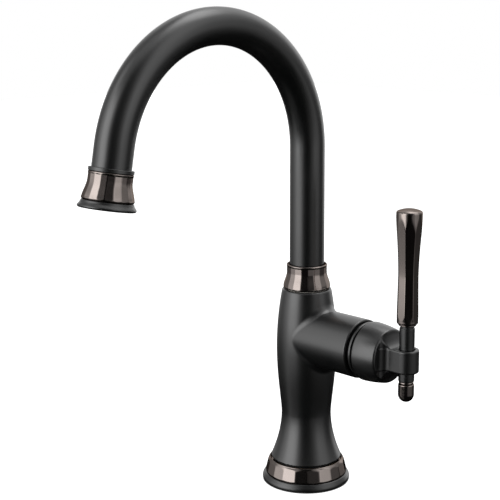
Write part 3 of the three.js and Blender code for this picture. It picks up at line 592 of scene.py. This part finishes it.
def ring_section(bore, side, height, rim):
    """Recess, foot, side, lip and dished top as (radius, height), closed through the bore."""
    gap, lip_round, lip_lean, reach, depth = rim
    # The levels lie closer together at the foot and at the lip, where the outline bends most.
    levels = np.concatenate([np.linspace(FOOT_RISE, 3.4, 14),
                             np.linspace(3.6, height - 3.4, 26),
                             np.linspace(height - 3.3, height - lip_round, 24)])
    rounds = side(levels)
    rounds = rounds - lip_lean * np.clip((levels - height + LEAN_BAND) / LEAN_BAND, 0, 1) ** 1.5
    angles = np.linspace(0, math.pi / 2, 9)
    foot_arc = [(rounds[0] - FOOT_ROUND * (1 - math.sin(a)),
                 gap + (FOOT_RISE - gap) * (1 - math.cos(a))) for a in angles[:-1]]
    lip_arc = [(rounds[-1] - lip_round * (1 - math.cos(a)),
                height - lip_round * (1 - math.sin(a))) for a in angles[1:]]
    recess = rounds[0] - RECESS_IN
    foot = [(bore, 0), (recess, 0), (recess, gap)] if gap else [(bore, 0)]
    inside = [(reach, height - depth), (reach, height - depth - DISH_STEP),
              (bore, height - depth - DISH_STEP)]
    return [*foot, *foot_arc, *zip(rounds, levels), *lip_arc, *inside]


def ring_flat(side, height, scallop):
    """The distance from the axis to the middle of a flat, at a height."""
    apothem = math.cos(math.pi / FLATS)

    def flat(z):
        below = np.clip(1 - z / FOOT_BAND, 0, 1)
        above = np.clip((z - height + LIP_BAND) / LIP_BAND, 0, 1)
        return side(z) * apothem - FLAT_DEPTH + scallop * (below ** 2 + above ** 2)

    return flat


def facet_ring(name, node, bore, side, height, scallop, rim, place):
    """One ring. Its rim is (gap at foot, lip rounding, lip lean, dish radius, dish depth)."""
    section = ring_section(bore, side, height, rim)
    flat = ring_flat(side, height, scallop)
    wedge = wedge_mesh(name, section, flat, FLATS, RING_COLUMNS, True, RING_BLEND)
    return set_round(name, wedge, FLATS, "dark_metal", node, place)


# %% The three rings
TUBE_RING_BORE = TUBE_RADIUS + RING_GAP
SCALLOP = 1.2
ring_foot, ring_top = (float(v[2]) for v in span("base_ring"))
foot_height = ring_top - ring_foot
foot_side = cone_side(31.9, 29.2, foot_height)
facet_ring("foot_ring", "base_ring", FOOT_BORE, foot_side, foot_height, 0,
           (0.4, 0.3, 1.25, 26.6, 1.8), Matrix.Translation((0, 0, ring_foot)))

neck_foot, neck_top = (float(v[2]) for v in span("spout_ring"))
neck_height = neck_top - neck_foot
neck_side = flared_side(17.9, 15.55, neck_height, 0.08, 0.59)
facet_ring("neck_ring", "spout_ring", TUBE_RING_BORE, neck_side, neck_height, SCALLOP,
           (0, 0.8, 0, 14.4, 0.3), Matrix.Translation((0, 0, neck_foot)))

OUTLET_RING_START = 2.65
OUTLET_RING_HEIGHT = 18.5
outlet_side = flared_side(17.5, 15.0, OUTLET_RING_HEIGHT, 0.0, 0.72)
outlet_place = (OUTLET @ Matrix.Translation((0, 0, OUTLET_RING_START + OUTLET_RING_HEIGHT))
                @ Matrix.Rotation(math.pi, 4, "X"))
facet_ring("outlet_ring", "nozzle_ring", TUBE_RING_BORE, outlet_side, OUTLET_RING_HEIGHT,
           SCALLOP, (0, 0.7, 0, 14.0, 0.2), outlet_place)

# %% [markdown]
# ## The grip
# The lever's grip is a long bottle of eight flats, narrowest below its middle, that ends in a
# round head. It is made from the same kind of wedge, with a section that closes on the axis.

# %% The grip
GRIP_LENGTH = 83.0
GRIP_FLATS = 8
GRIP_COLUMNS = 33
GRIP_WAIST_AT = 0.42
GRIP_WAIST, GRIP_FOOT_SWELL, GRIP_HEAD_SWELL = 6.95, 0.62, 3.15
GRIP_ROUND, GRIP_HEAD = 7.75, 9.35
GRIP_GROWTH, GRIP_GROWTH_AT = 8.2, 0.034
GRIP_DOME = 3.2


def grip_flat(z):
    """The distance from the axis to the middle of a flat, least at the waist."""
    share = np.clip(z / GRIP_LENGTH, 0, 1)
    below = np.clip(1 - share / GRIP_WAIST_AT, 0, 1)
    above = np.clip((share - GRIP_WAIST_AT) / (1 - GRIP_WAIST_AT), 0, 1)
    return GRIP_WAIST + GRIP_FOOT_SWELL * below ** 1.2 + GRIP_HEAD_SWELL * above ** 1.7


def grip_section():
    """From the axis out under the foot, up the round of the grip and over its domed head."""
    foot_round, foot_bulge, edge_round = 1.6, 1.35, 1.7
    straight_top = GRIP_LENGTH - GRIP_DOME
    section = [(0, 0), (3, 0), (5.2, 0)]
    for a in np.linspace(0, math.pi / 2, 9):
        section.append((GRIP_ROUND - foot_bulge * (1 - math.sin(a)),
                        foot_round * (1 - math.cos(a))))
    for z in np.concatenate([np.linspace(2, 10, 26), np.linspace(11, 60, 40),
                             np.linspace(60.6, straight_top - 0.3, 60)]):
        growth = GRIP_GROWTH * max(0, z / GRIP_LENGTH - GRIP_GROWTH_AT)
        section.append((min(GRIP_HEAD, GRIP_ROUND + growth), float(z)))
    for a in np.linspace(0, math.radians(75), 8):
        section.append((GRIP_HEAD - edge_round * (1 - math.cos(a)),
                        straight_top + edge_round * math.sin(a)))
    edge_radius, edge_height = section[-1]
    for share in np.linspace(0.1, 1, 14):
        section.append((edge_radius * (1 - share),
                        edge_height + (GRIP_LENGTH - edge_height) * (1 - (1 - share) ** 2)))
    return section


grip_wedge = wedge_mesh("lever_grip", grip_section(), grip_flat, GRIP_FLATS, GRIP_COLUMNS,
                        False, GRIP_BLEND)
grip_foot = float(span("lever_grip")[0][2]) - VALVE_HEIGHT
set_round("faceted_grip", grip_wedge, GRIP_FLATS, "dark_metal", "lever_grip",
          LEVER @ Matrix.Translation((0, 0, grip_foot)))

# %% [markdown]
# ## The lever's turned parts
# A stem rises from the knuckle to the grip, with a thin bead between them. Below the knuckle sit
# a plain collar, another bead and a bullet-shaped nut.

# %% Stem, beads, collar and finial
ROD = 3.3
ROD_BORE = 3.6
SLEEVE, SLEEVE_FOOT = 5.5, 6.95
GROOVE, GROOVE_HEIGHT = 4.9, 1.75


def lever_span(node):
    """The lowest and highest point of a part of the lever, from the valve's axis."""
    low, high = span(node)
    return float(low[2]) - VALVE_HEIGHT, float(high[2]) - VALVE_HEIGHT


stem_foot, stem_tip = lever_span("lever_stem")
bead_foot, bead_top = lever_span("grip_collar")
turned("lever_rod", "lever_stem", "matte_black", [
    (0, stem_foot, 0), (ROD, stem_foot, 0.4), (ROD, SLEEVE_FOOT, 0),
    (SLEEVE, SLEEVE_FOOT, 0.2), (SLEEVE, bead_foot - GROOVE_HEIGHT, 0.4),
    (GROOVE, bead_foot - GROOVE_HEIGHT, 0.1), (GROOVE, bead_foot - 0.05, 0.1),
    (ROD, bead_foot - 0.05, 0), (ROD, stem_tip, 0.4), (0, stem_tip, 0),
], LEVER, closed=False)
turned("grip_bead", "grip_collar", "dark_metal", [
    (ROD_BORE, bead_foot, 0.1), (6.4, bead_foot, 0.45), (6.4, bead_top, 0.3),
    (ROD_BORE, bead_top, 0.1),
], LEVER)

collar_foot, collar_top = lever_span("lower_collar")
turned("knuckle_collar", "lower_collar", "matte_black", [
    (ROD_BORE, collar_foot, 0.2), (5.75, collar_foot, 0.5), (5.75, collar_top, 0.3),
    (ROD_BORE, collar_top, 0.2),
], LEVER)
ring_low, ring_high = lever_span("finial_ring")
turned("finial_bead", "finial_ring", "dark_metal", [
    (ROD_BORE, ring_low, 0.2), (5.3, ring_low, 0.9), (5.3, ring_high, 0.9),
    (ROD_BORE, ring_high, 0.2),
], LEVER)
nut_foot, nut_top = lever_span("finial")
turned("finial_nut", "finial", "dark_metal", [
    (0, nut_foot, 0), (5.75, nut_foot, 5.6), (5.75, nut_top, 0.7), (0, nut_top, 0),
], LEVER, closed=False)

# %% [markdown]
# ## The swan neck
# The tube is bent from one length, so its whole shape follows a rule. Geometry Nodes lay points
# along the middle line, move them by the rule and sweep a circle along them. Solidify then
# gives the tube its wall, to the inside.


# %% The tube's tree
TUBE_STEPS, TUBE_SIDES = 260, 72


def swan_neck_tree():
    """Geometry Nodes: a tube along a riser, an arch and a short run to the outlet."""
    tree = bpy.data.node_groups.new("swan neck", "GeometryNodeTree")
    for name in ("Length", "Foot", "Riser", "Arch radius", "Arch angle", "Tube radius"):
        input_socket(tree, name, "NodeSocketFloat")
    input_socket(tree, "Steps", "NodeSocketInt")
    input_socket(tree, "Sides", "NodeSocketInt")
    input_socket(tree, "Finish", "NodeSocketMaterial")
    tree.interface.new_socket("Tube", in_out="OUTPUT", socket_type="NodeSocketGeometry")
    add, link = tree.nodes.new, tree.links.new
    entry, leave = add("NodeGroupInput"), add("NodeGroupOutput")
    value = entry.outputs

    line = add("GeometryNodeMeshLine")
    link(value["Steps"], line.inputs["Count"])
    index = add("GeometryNodeInputIndex").outputs["Index"]
    share = step(tree, "DIVIDE", index, step(tree, "SUBTRACT", value["Steps"], 1.0))
    run = step(tree, "MULTIPLY", share, value["Length"])
    rise = step(tree, "MINIMUM", run, value["Riser"])
    past = step(tree, "MAXIMUM", step(tree, "SUBTRACT", run, value["Riser"]), 0.0)
    bend = step(tree, "MINIMUM", step(tree, "DIVIDE", past, value["Arch radius"]),
                value["Arch angle"])
    bent = step(tree, "MULTIPLY", bend, value["Arch radius"])
    rest = step(tree, "SUBTRACT", past, bent)
    sine, cosine = step(tree, "SINE", bend), step(tree, "COSINE", bend)
    forward = step(tree, "ADD",
                   step(tree, "MULTIPLY", step(tree, "SUBTRACT", 1.0, cosine),
                        value["Arch radius"]),
                   step(tree, "MULTIPLY", rest, sine))
    upward = step(tree, "ADD",
                  step(tree, "MULTIPLY", value["Arch radius"], sine),
                  step(tree, "MULTIPLY", rest, cosine))
    height = step(tree, "ADD", step(tree, "ADD", value["Foot"], rise), upward)
    place = add("ShaderNodeCombineXYZ")
    link(step(tree, "MULTIPLY", forward, -1.0), place.inputs["Y"])
    link(height, place.inputs["Z"])

    moved = add("GeometryNodeSetPosition")
    link(line.outputs[0], moved.inputs["Geometry"])
    link(place.outputs[0], moved.inputs["Position"])
    path = add("GeometryNodeMeshToCurve")
    link(moved.outputs[0], path.inputs[0])
    circle = add("GeometryNodeCurvePrimitiveCircle")
    link(value["Sides"], circle.inputs["Resolution"])
    link(value["Tube radius"], circle.inputs["Radius"])
    swept = add("GeometryNodeCurveToMesh")
    link(path.outputs[0], swept.inputs["Curve"])
    link(circle.outputs[0], swept.inputs["Profile Curve"])
    real = add("GeometryNodeRealizeInstances")
    link(swept.outputs[0], real.inputs[0])
    painted = add("GeometryNodeSetMaterial")
    link(real.outputs[0], painted.inputs["Geometry"])
    link(value["Finish"], painted.inputs["Material"])
    link(painted.outputs[0], leave.inputs[0])
    return tree


def swan_neck():
    """The tube as one mesh, with Solidify for its wall."""
    source = add_object("neck_line", bpy.data.meshes.new("neck_line"))
    mesh = run_tree(source, swan_neck_tree(), {
        "Length": TUBE_LENGTH * MM, "Foot": TUBE_FOOT * MM, "Riser": RISER * MM,
        "Arch radius": ARCH_RADIUS * MM, "Arch angle": ARCH_ANGLE,
        "Tube radius": TUBE_RADIUS * MM, "Steps": TUBE_STEPS, "Sides": TUBE_SIDES,
        "Finish": FINISHES["matte_black"],
    })
    face_outwards(mesh, closed=False)
    tube = add_piece("swan_neck_tube", mesh, "spout_tube", "matte_black", TURNED_EDGE)
    wall = tube.modifiers.new("wall", "SOLIDIFY")
    wall.thickness = TUBE_WALL * MM
    wall.offset = -1
    return tube


swan_neck()

# %% [markdown]
# ## The outlet
# A thin collar ends the bare tube above the outlet ring. Below the ring, a flared shell with a
# narrow rim holds the aerator.

# %% Collar and shell
turned("outlet_collar", "nozzle_collar", "matte_black", [
    (13.4, 0, 0.2), (14.95, 0, 0.35), (14.95, 2.5, 0.3), (13.4, 2.5, 0.2),
], OUTLET)
turned("outlet_shell", "aerator_shell", "matte_black", [
    (9.9, 13.4, 0.2), (11.6, 13.4, 0.3), (11.6, 21.4, 0), (17.2, 21.4, 0.35),
    (17.7, 22.9, 2.5), (19.4, 25.2, 1.1), (18.8, 26.6, 1.0), (17.2, 26.6, 0.3),
    (16.2, 25.6, 0.3), (9.9, 25.6, 0.2),
], OUTLET)

# %% [markdown]
# ## Castings from a distance rule
# The body and the handle cap are castings: rounds and flats that run into each other with small
# fillets, which no lathe makes. Each is described by a rule that gives, for any point, how far it
# is outside the metal. A grid finds where that distance is nought, every grid point found there
# is moved onto the surface, and the rule's own slope gives exact shading.


# %% Blends of two distances
def fillet_join(a, b, radius):
    """Both shapes together, with a round fillet in the corner between them."""
    u, v = np.maximum(radius - a, 0), np.maximum(radius - b, 0)
    return np.maximum(radius, np.minimum(a, b)) - np.hypot(u, v)


def rounded_common(a, b, radius):
    """What both shapes share, with its edge rounded."""
    u, v = np.maximum(radius + a, 0), np.maximum(radius + b, 0)
    return np.minimum(-radius, np.maximum(a, b)) + np.hypot(u, v)


def cut_away(a, b, radius=0.25):
    """The first shape without the second."""
    return rounded_common(a, -b, radius)


# %% The surface of a rule
SURFACE_STEPS = 6
STEP_LIMIT, DRIFT_LIMIT = 0.3, 0.9


def slope_of(rule, p, reach=0.01):
    """How fast a rule grows along each axis at the points p."""
    axes = np.eye(3) * reach
    parts = [rule(*(p + a).T) - rule(*(p - a).T) for a in axes]
    return np.stack(parts, -1) / (2 * reach)


def grid_crossings(values, axes):
    """Where the rule changes sign between grid points: one point per cell it passes through."""
    inside = values < 0
    shape = tuple(n - 1 for n in values.shape)
    total, count = np.zeros(shape + (3,)), np.zeros(shape)
    for axis in range(3):
        others = [a for a in range(3) if a != axis]
        for shift in ((0, 0), (0, 1), (1, 0), (1, 1)):
            low = [slice(0, n) for n in shape]
            for other, s in zip(others, shift):
                low[other] = slice(s, s + shape[other])
            high = list(low)
            high[axis] = slice(1, shape[axis] + 1)
            a, b = values[tuple(low)], values[tuple(high)]
            crossed = inside[tuple(low)] != inside[tuple(high)]
            gap = np.where(crossed, a - b, 1)
            share = np.where(crossed, a / gap, 0)
            point = np.zeros(shape + (3,))
            point[..., axis] = share
            for other, s in zip(others, shift):
                point[..., other] = s
            total += point * crossed[..., None]
            count += crossed
    cells = np.argwhere(count > 0)
    middle = total[count > 0] / count[count > 0][:, None]
    cell = axes[0][1] - axes[0][0]
    origin = np.array([a[0] for a in axes])
    return inside, shape, cells, origin + (cells + middle) * cell


def grid_faces(inside, shape, cells):
    """One face across every grid line that enters or leaves the shape."""
    number = np.full(shape, -1)
    number[tuple(cells.T)] = np.arange(len(cells))
    faces = []
    for axis in range(3):
        u, v = (axis + 1) % 3, (axis + 2) % 3
        low = [slice(1, n) for n in shape]
        low[axis] = slice(0, shape[axis])
        high = list(low)
        high[axis] = slice(1, shape[axis] + 1)
        enters = inside[tuple(low)] & ~inside[tuple(high)]
        leaves = ~inside[tuple(low)] & inside[tuple(high)]
        for mask, order in ((enters, (0, 1, 2, 3)), (leaves, (3, 2, 1, 0))):
            at = np.argwhere(mask)
            at[:, u] += 1
            at[:, v] += 1
            corners = []
            for du, dv in ((-1, -1), (0, -1), (0, 0), (-1, 0)):
                cell = at.copy()
                cell[:, u] += du
                cell[:, v] += dv
                corners.append(number[tuple(cell.T)])
            faces.append(np.stack([corners[k] for k in order], -1))
    return np.concatenate(faces)


def casting(name, node, rule, low, high, cell):
    """A mesh of the surface where a rule is nought, with the rule's own shading."""
    axes = [np.arange(a - 2 * cell, b + 3 * cell, cell) for a, b in zip(low, high)]
    values = rule(*np.meshgrid(*axes, indexing="ij"))
    inside, shape, cells, points = grid_crossings(values, axes)
    faces = grid_faces(inside, shape, cells)
    start = points.copy()
    for _ in range(SURFACE_STEPS):
        slope = slope_of(rule, points)
        size = np.maximum((slope ** 2).sum(-1), 0.05)
        move = -(rule(*points.T) / size)[:, None] * slope
        length = np.linalg.norm(move, axis=1, keepdims=True)
        points = points + move * np.minimum(1, STEP_LIMIT * cell / np.maximum(length, 1e-9))
        drift = points - start
        far = np.linalg.norm(drift, axis=1, keepdims=True)
        points = start + drift * np.minimum(1, DRIFT_LIMIT * cell / np.maximum(far, 1e-9))
    normals = slope_of(rule, points)
    normals /= np.maximum(np.linalg.norm(normals, axis=1, keepdims=True), 1e-9)
    mesh = mesh_from(name, points * MM, faces)
    mesh.shade_smooth()
    mesh.normals_split_custom_set_from_vertices(normals.tolist())
    return add_piece(name, mesh, node, "matte_black")


# %% [markdown]
# ## The body
# The body is a vase with a side hub for the valve. The hub runs into the vase with a fillet of
# about 5 mm. A black skirt under the foot reaches into the ring and closes the seam. Inside are
# the valve's bore, the space for the supply tubes and the socket that the spout turns in.

# %% The body's rule
BODY_FOOT, BODY_TOP = (float(v[2]) for v in span("body"))
WAIST_HEIGHT, BELLY_HEIGHT = 54.0, 107.0
FOOT_RADIUS, WAIST_RADIUS, BELLY_RADIUS, LIP_RADIUS = 27.3, 19.1, 22.9, 18.7
HUB_RADIUS, HUB_LENGTH = 21.95, 57.5
FOOT_SWEEP, BELLY_SWEEP = 1.88, 0.73
HUB_FILLET = 5.0
EDGE_ROUND, FOOT_EDGE = 1.1, 0.7
SKIRT_FOOT, SKIRT_TOP, SKIRT_RADIUS = BODY_FOOT - 1.7, 20, 26.2
VALVE_BORE, VALVE_FLOOR = 17.8, 24
CHAMBER_RADIUS, CHAMBER_TOP = 15.5, 91
SOCKET_RADIUS, SOCKET_DEPTH = 16.1, 1.6


def vase_radius(z):
    """The outline of the vase: wide at the foot, slim at the waist, full at the belly."""
    foot = np.clip((WAIST_HEIGHT - z) / (WAIST_HEIGHT - BODY_FOOT), 0, 1.2)
    rise = np.clip((z - WAIST_HEIGHT) / (BELLY_HEIGHT - WAIST_HEIGHT), 0, 1)
    fall = np.clip((z - BELLY_HEIGHT) / (BODY_TOP - BELLY_HEIGHT), 0, 1.2)
    wave = (1 - np.cos(math.pi * rise ** BELLY_SWEEP)) / 2
    return (WAIST_RADIUS + (FOOT_RADIUS - WAIST_RADIUS) * foot ** FOOT_SWEEP
            + (BELLY_RADIUS - WAIST_RADIUS) * wave
            - (BELLY_RADIUS - LIP_RADIUS) * fall ** 2)


def body_rule(x, y, z):
    """How far a point is outside the body's metal."""
    out = np.hypot(x, y)
    lean = (vase_radius(z + 0.05) - vase_radius(z - 0.05)) / 0.1
    side = (out - vase_radius(z)) / np.sqrt(1 + lean ** 2)
    vase = rounded_common(side, z - BODY_TOP, EDGE_ROUND)
    vase = rounded_common(vase, BODY_FOOT - z, FOOT_EDGE)
    across = np.hypot(y, z - VALVE_HEIGHT)
    hub = rounded_common(across - HUB_RADIUS, x - HUB_LENGTH, EDGE_ROUND)
    hub = np.maximum(hub, -x)
    alike = y * y / np.maximum(out * across, 1e-6)
    metal = fillet_join(vase, hub, HUB_FILLET * (1 - alike) + 0.05)
    skirt = np.maximum(np.maximum(out - SKIRT_RADIUS, FOOT_BORE - out),
                       np.maximum(SKIRT_FOOT - z, z - SKIRT_TOP))
    metal = np.minimum(metal, skirt)
    metal = cut_away(metal, np.maximum(across - VALVE_BORE, VALVE_FLOOR - x), 0.4)
    metal = cut_away(metal, np.maximum(out - CHAMBER_RADIUS, z - CHAMBER_TOP), 0.4)
    return cut_away(metal, np.maximum(out - SOCKET_RADIUS, BODY_TOP - SOCKET_DEPTH - z), 0.3)


casting("body_casting", "body", body_rule, (-FOOT_RADIUS, -FOOT_RADIUS, SKIRT_FOOT),
        (HUB_LENGTH, FOOT_RADIUS, BODY_TOP), 0.8)

# %% [markdown]
# ## The handle cap
# The cap, its short arm and the knuckle for the lever are one casting. The cap tapers to its
# rim. The arm is scooped above and below where it leaves the cap, and filleted at its sides.

# %% The cap's rule
CAP_BACK, CAP_LENGTH = float(span("handle_cap")[0][0]), 19.8
CAP_FRONT = CAP_BACK + CAP_LENGTH
CAP_RADIUS, CAP_RIM = 21.9, 19.6
KNUCKLE_RADIUS, KNUCKLE_HALF = 8.9, 8.4
ARM_FILLET, SCOOP_RUN = 5.6, 7.8
CAP_WALL, CAP_BORE_DEPTH = 1.3, 12.5
BOSS_RADIUS, BOSS_START, SPINDLE_BORE = 8, 5.5, 4.1
SEAT_RADIUS, SEAT_DEPTH = 6.1, 1.5
SCREW_AT, SCREW_BORE = 16.1, 2.3


def cap_radius(x):
    """The convex taper of the cap, level at its back and steepest at its rim."""
    share = np.clip((x - CAP_BACK) / CAP_LENGTH, 0, 1)
    return CAP_RADIUS - (CAP_RADIUS - CAP_RIM) * share ** 1.9


def cap_rule(x, y, height):
    """How far a point is outside the metal of the cap, its arm and the knuckle."""
    z = height - VALVE_HEIGHT
    across = np.hypot(y, z)
    stock = rounded_common(across - cap_radius(x), CAP_BACK - x, 1.0)
    ahead = x - CAP_FRONT
    beside = np.hypot(np.maximum(x - LEVER_REACH, 0), y) - KNUCKLE_RADIUS
    plan = fillet_join(ahead, beside, ARM_FILLET)
    above = np.abs(z) - KNUCKLE_HALF
    depth = CAP_RIM - KNUCKLE_HALF
    curve = np.hypot(np.maximum(1 - ahead / SCOOP_RUN, 0), np.maximum(1 - above / depth, 0))
    scale = math.sqrt(SCOOP_RUN * depth)
    profile = np.where((ahead > 0) & (above > 0), (1 - curve) * scale,
                       np.minimum(ahead, above))
    rounding = 0.6 + 0.5 * np.clip(ahead / 4, 0, 1)
    metal = rounded_common(plan, profile, rounding)
    metal = rounded_common(stock, metal, 1.5)
    bore = np.maximum(across - (cap_radius(x) - CAP_WALL), x - (CAP_BACK + CAP_BORE_DEPTH))
    boss = np.maximum(across - BOSS_RADIUS, CAP_BACK + BOSS_START - x)
    metal = cut_away(metal, np.maximum(bore, -boss), 0.3)
    metal = cut_away(metal, np.maximum(across - SPINDLE_BORE, x - CAP_FRONT), 0.2)
    rod = np.hypot(x - LEVER_REACH, y)
    metal = cut_away(metal, rod - ROD_BORE, 0.2)
    metal = cut_away(metal, np.maximum(rod - SEAT_RADIUS, KNUCKLE_HALF - SEAT_DEPTH - z), 0.3)
    screw = np.maximum(np.hypot(x - (CAP_BACK + SCREW_AT), y) - SCREW_BORE, z)
    return cut_away(metal, screw, 0.3)


casting("handle_casting", "handle_cap", cap_rule,
        (CAP_BACK, -CAP_RADIUS, VALVE_HEIGHT - CAP_RADIUS),
        (LEVER_REACH + KNUCKLE_RADIUS, CAP_RADIUS, VALVE_HEIGHT + CAP_RADIUS), 0.5)

# %% [markdown]
# ## The bead behind the cap
# A trim ring closes the hub. It shows as a dark groove and a thin bright bead between the hub
# and the cap.

# %% The bead
BEAD_BORE, BEAD_RADIUS = 13.1, 20.7
nut_reach = float(span("bonnet_nut")[1][0]) + 0.05
hub_end = HUB_LENGTH + 0.05
bead_front = float(span("bonnet_ring")[1][0])
turned("hub_bead", "bonnet_ring", "matte_black", [
    (BEAD_BORE, nut_reach, 0.2), (17.65, nut_reach, 0.2), (17.65, hub_end, 0),
    (18.3, hub_end, 0.2), (18.3, bead_front - 3.1, 0.1), (BEAD_RADIUS, bead_front - 3.1, 0.4),
    (BEAD_RADIUS, bead_front - 1.0, 0.9), (18.6, bead_front - 1.0, 0.1),
    (18.6, bead_front, 0.2), (BEAD_BORE, bead_front, 0.3),
], VALVE)

# %% [markdown]
# ## Parts kept from the frame
# The parts inside have the right shape already, so they are shown as they are. Every part of the
# frame takes the finish that its record names.

# %% Finishes on the frame's parts
shown = {part["node"]: part["material_slot"] for part in frame["record"]["subparts"]}
for node, slot in shown.items():
    mesh = frame["nodes"][node].data
    mesh.materials.clear()
    mesh.materials.append(FINISHES[slot])
print("finished", len(shown), "parts of the frame")

# %% [markdown]
# ## Camera
# The camera stands in front and to the right, a little above the tap, and looks slightly down.

# %% The camera
camera_data = bpy.data.cameras.new("camera")
camera = add_object("camera", camera_data)
CAMERA_TURN, CAMERA_DIP = 0.77642527, 0.18229814
camera.location = (0.6117, -0.6551, 0.3746)
camera.rotation_euler = (math.pi / 2 - CAMERA_DIP, 0, CAMERA_TURN)
camera_data.sensor_width = 36
camera_data.lens = 86.97
camera_data.shift_x = -0.0542
camera_data.shift_y = -0.0718
bpy.context.scene.camera = camera

# %% [markdown]
# ## Studio
# Polished and satin black metal shows little of its own. It shows the room: a broad softbox to
# the left, a narrow one to the right with a dark gap between them, dim walls at the sides, and a
# bright backdrop behind the tap. The world holds these as soft windows of light by compass angle
# and height. The camera itself sees white.


# %% The softboxes
def window(tree, value, middle, half, soft):
    """1 within so many degrees of a middle angle and 0 outside, with soft ends."""
    away = step(tree, "SUBTRACT", value, float(middle))
    away = step(tree, "ABSOLUTE", step(tree, "WRAP", away, 180.0, -180.0))
    ramp = tree.nodes.new("ShaderNodeMapRange")
    ramp.interpolation_type = "SMOOTHSTEP"
    put(ramp, From_Min=half - soft, From_Max=half + soft, To_Min=1.0, To_Max=0.0)
    tree.links.new(away, ramp.inputs["Value"])
    return ramp.outputs["Result"]


# Compass angle, half width and softness, height, half height and softness, and brightness.
SOFTBOXES = {
    "key": (-14, 22, 8, 13, 26.5, 3, 2.5),
    "right edge of the key": (17, 6, 5, 20, 32, 8, 0.22),
    "above the key": (-24, 36, 10, 47, 15, 12, 0.45),
    "left of the key": (-49, 12, 8, 22, 36, 7, 1.0),
    "below left of the key": (-39, 7, 5, -24, 9, 5, 0.35),
    "left wall": (-84, 21, 8, 22, 36, 7, 0.35),
    "gap, right": (54, 8, 5, 24, 22, 4, 0.07),
    "right edge light": (78, 9, 7, 26, 34, 8, 0.4),
    "right softbox": (92, 6, 6, 26, 34, 8, 1.0),
    "right softbox, far": (111, 15, 8, 26, 34, 8, 0.88),
    "right wall": (146, 19, 8, 24, 26, 8, 0.36),
    "right wall, low": (95, 35, 8, -14, 6, 5, 0.24),
    "right wall, lowest": (142, 14, 8, -16, 12, 6, 0.07),
    "right wall, high": (137, 25, 8, 50, 22, 8, 0.4),
    "backdrop, right": (185, 16, 8, 16, 28, 6, 1.25),
    "backdrop": (228, 28, 8, 2, 12, 8, 1.1),
    "backdrop, high": (228, 28, 8, 33, 20, 8, 0.95),
    "top light behind": (185, 40, 12, 68, 18, 8, 3.3),
    "ceiling": (15, 125, 15, 77, 13, 8, 0.75),
    "table under the key": (-22, 26, 8, -41, 19, 6, 0.1),
}
ROOM = 0.008


def for_camera(tree, others, camera_rays):
    """One shader for the camera's own rays, and another for all other light."""
    add, link = tree.nodes.new, tree.links.new
    choice = add("ShaderNodeMixShader")
    link(add("ShaderNodeLightPath").outputs["Is Camera Ray"], choice.inputs[0])
    link(others.outputs[0], choice.inputs[1])
    link(camera_rays.outputs[0], choice.inputs[2])
    return choice


def studio_world():
    """The world: the softboxes for every ray but the camera's own, which finds white."""
    world = bpy.data.worlds.new("studio")
    bpy.context.scene.world = world
    world.use_nodes = True
    tree = world.node_tree
    tree.nodes.clear()
    add, link = tree.nodes.new, tree.links.new
    direction = add("ShaderNodeTexCoord").outputs["Generated"]
    parts = add("ShaderNodeSeparateXYZ")
    link(direction, parts.inputs[0])
    x, y, z = parts.outputs
    compass = step(tree, "DEGREES", step(tree, "ARCTAN2", x, step(tree, "MULTIPLY", y, -1.0)))
    height = step(tree, "DEGREES", step(tree, "ARCSINE", z))
    light = ROOM
    for angle, wide, edge, level, tall, soft, brightness in SOFTBOXES.values():
        across = window(tree, compass, angle, wide, edge)
        upward = window(tree, height, level, tall, soft)
        glow = step(tree, "MULTIPLY", step(tree, "MULTIPLY", across, upward), brightness)
        light = step(tree, "ADD", light, glow)
    lit = add("ShaderNodeBackground")
    link(light, lit.inputs["Color"])
    white = add("ShaderNodeBackground")
    put(white, Color=(1, 1, 1, 1))
    choice = for_camera(tree, lit, white)
    link(choice.outputs[0], add("ShaderNodeOutputWorld").inputs["Surface"])
    print("studio with", len(SOFTBOXES), "windows of light")


studio_world()

# %% [markdown]
# The floor is a plain pale sheet. The camera sees it as white with a faint shadow under the tap.


# %% The floor
FLOOR = 3


def pale_floor():
    """A flat sheet that glows a little for the camera, so that it reads as white."""
    corners = [(-FLOOR, -FLOOR, 0), (FLOOR, -FLOOR, 0), (FLOOR, FLOOR, 0), (-FLOOR, FLOOR, 0)]
    mesh = mesh_from("floor", corners, [(0, 1, 2, 3)])
    floor = add_object("floor", mesh)
    floor.visible_glossy = False
    material = bpy.data.materials.new("pale floor")
    material.use_nodes = True
    tree = material.node_tree
    tree.nodes.clear()
    add, link = tree.nodes.new, tree.links.new
    paint = add("ShaderNodeBsdfDiffuse")
    put(paint, Color=(0.6, 0.6, 0.6, 1))
    glow = add("ShaderNodeEmission")
    put(glow, Strength=0.85)
    both = add("ShaderNodeAddShader")
    link(paint.outputs[0], both.inputs[0])
    link(glow.outputs[0], both.inputs[1])
    choice = for_camera(tree, paint, both)
    link(choice.outputs[0], add("ShaderNodeOutputMaterial").inputs["Surface"])
    mesh.materials.append(material)


pale_floor()
bpy.context.scene.view_settings.view_transform = "Standard"
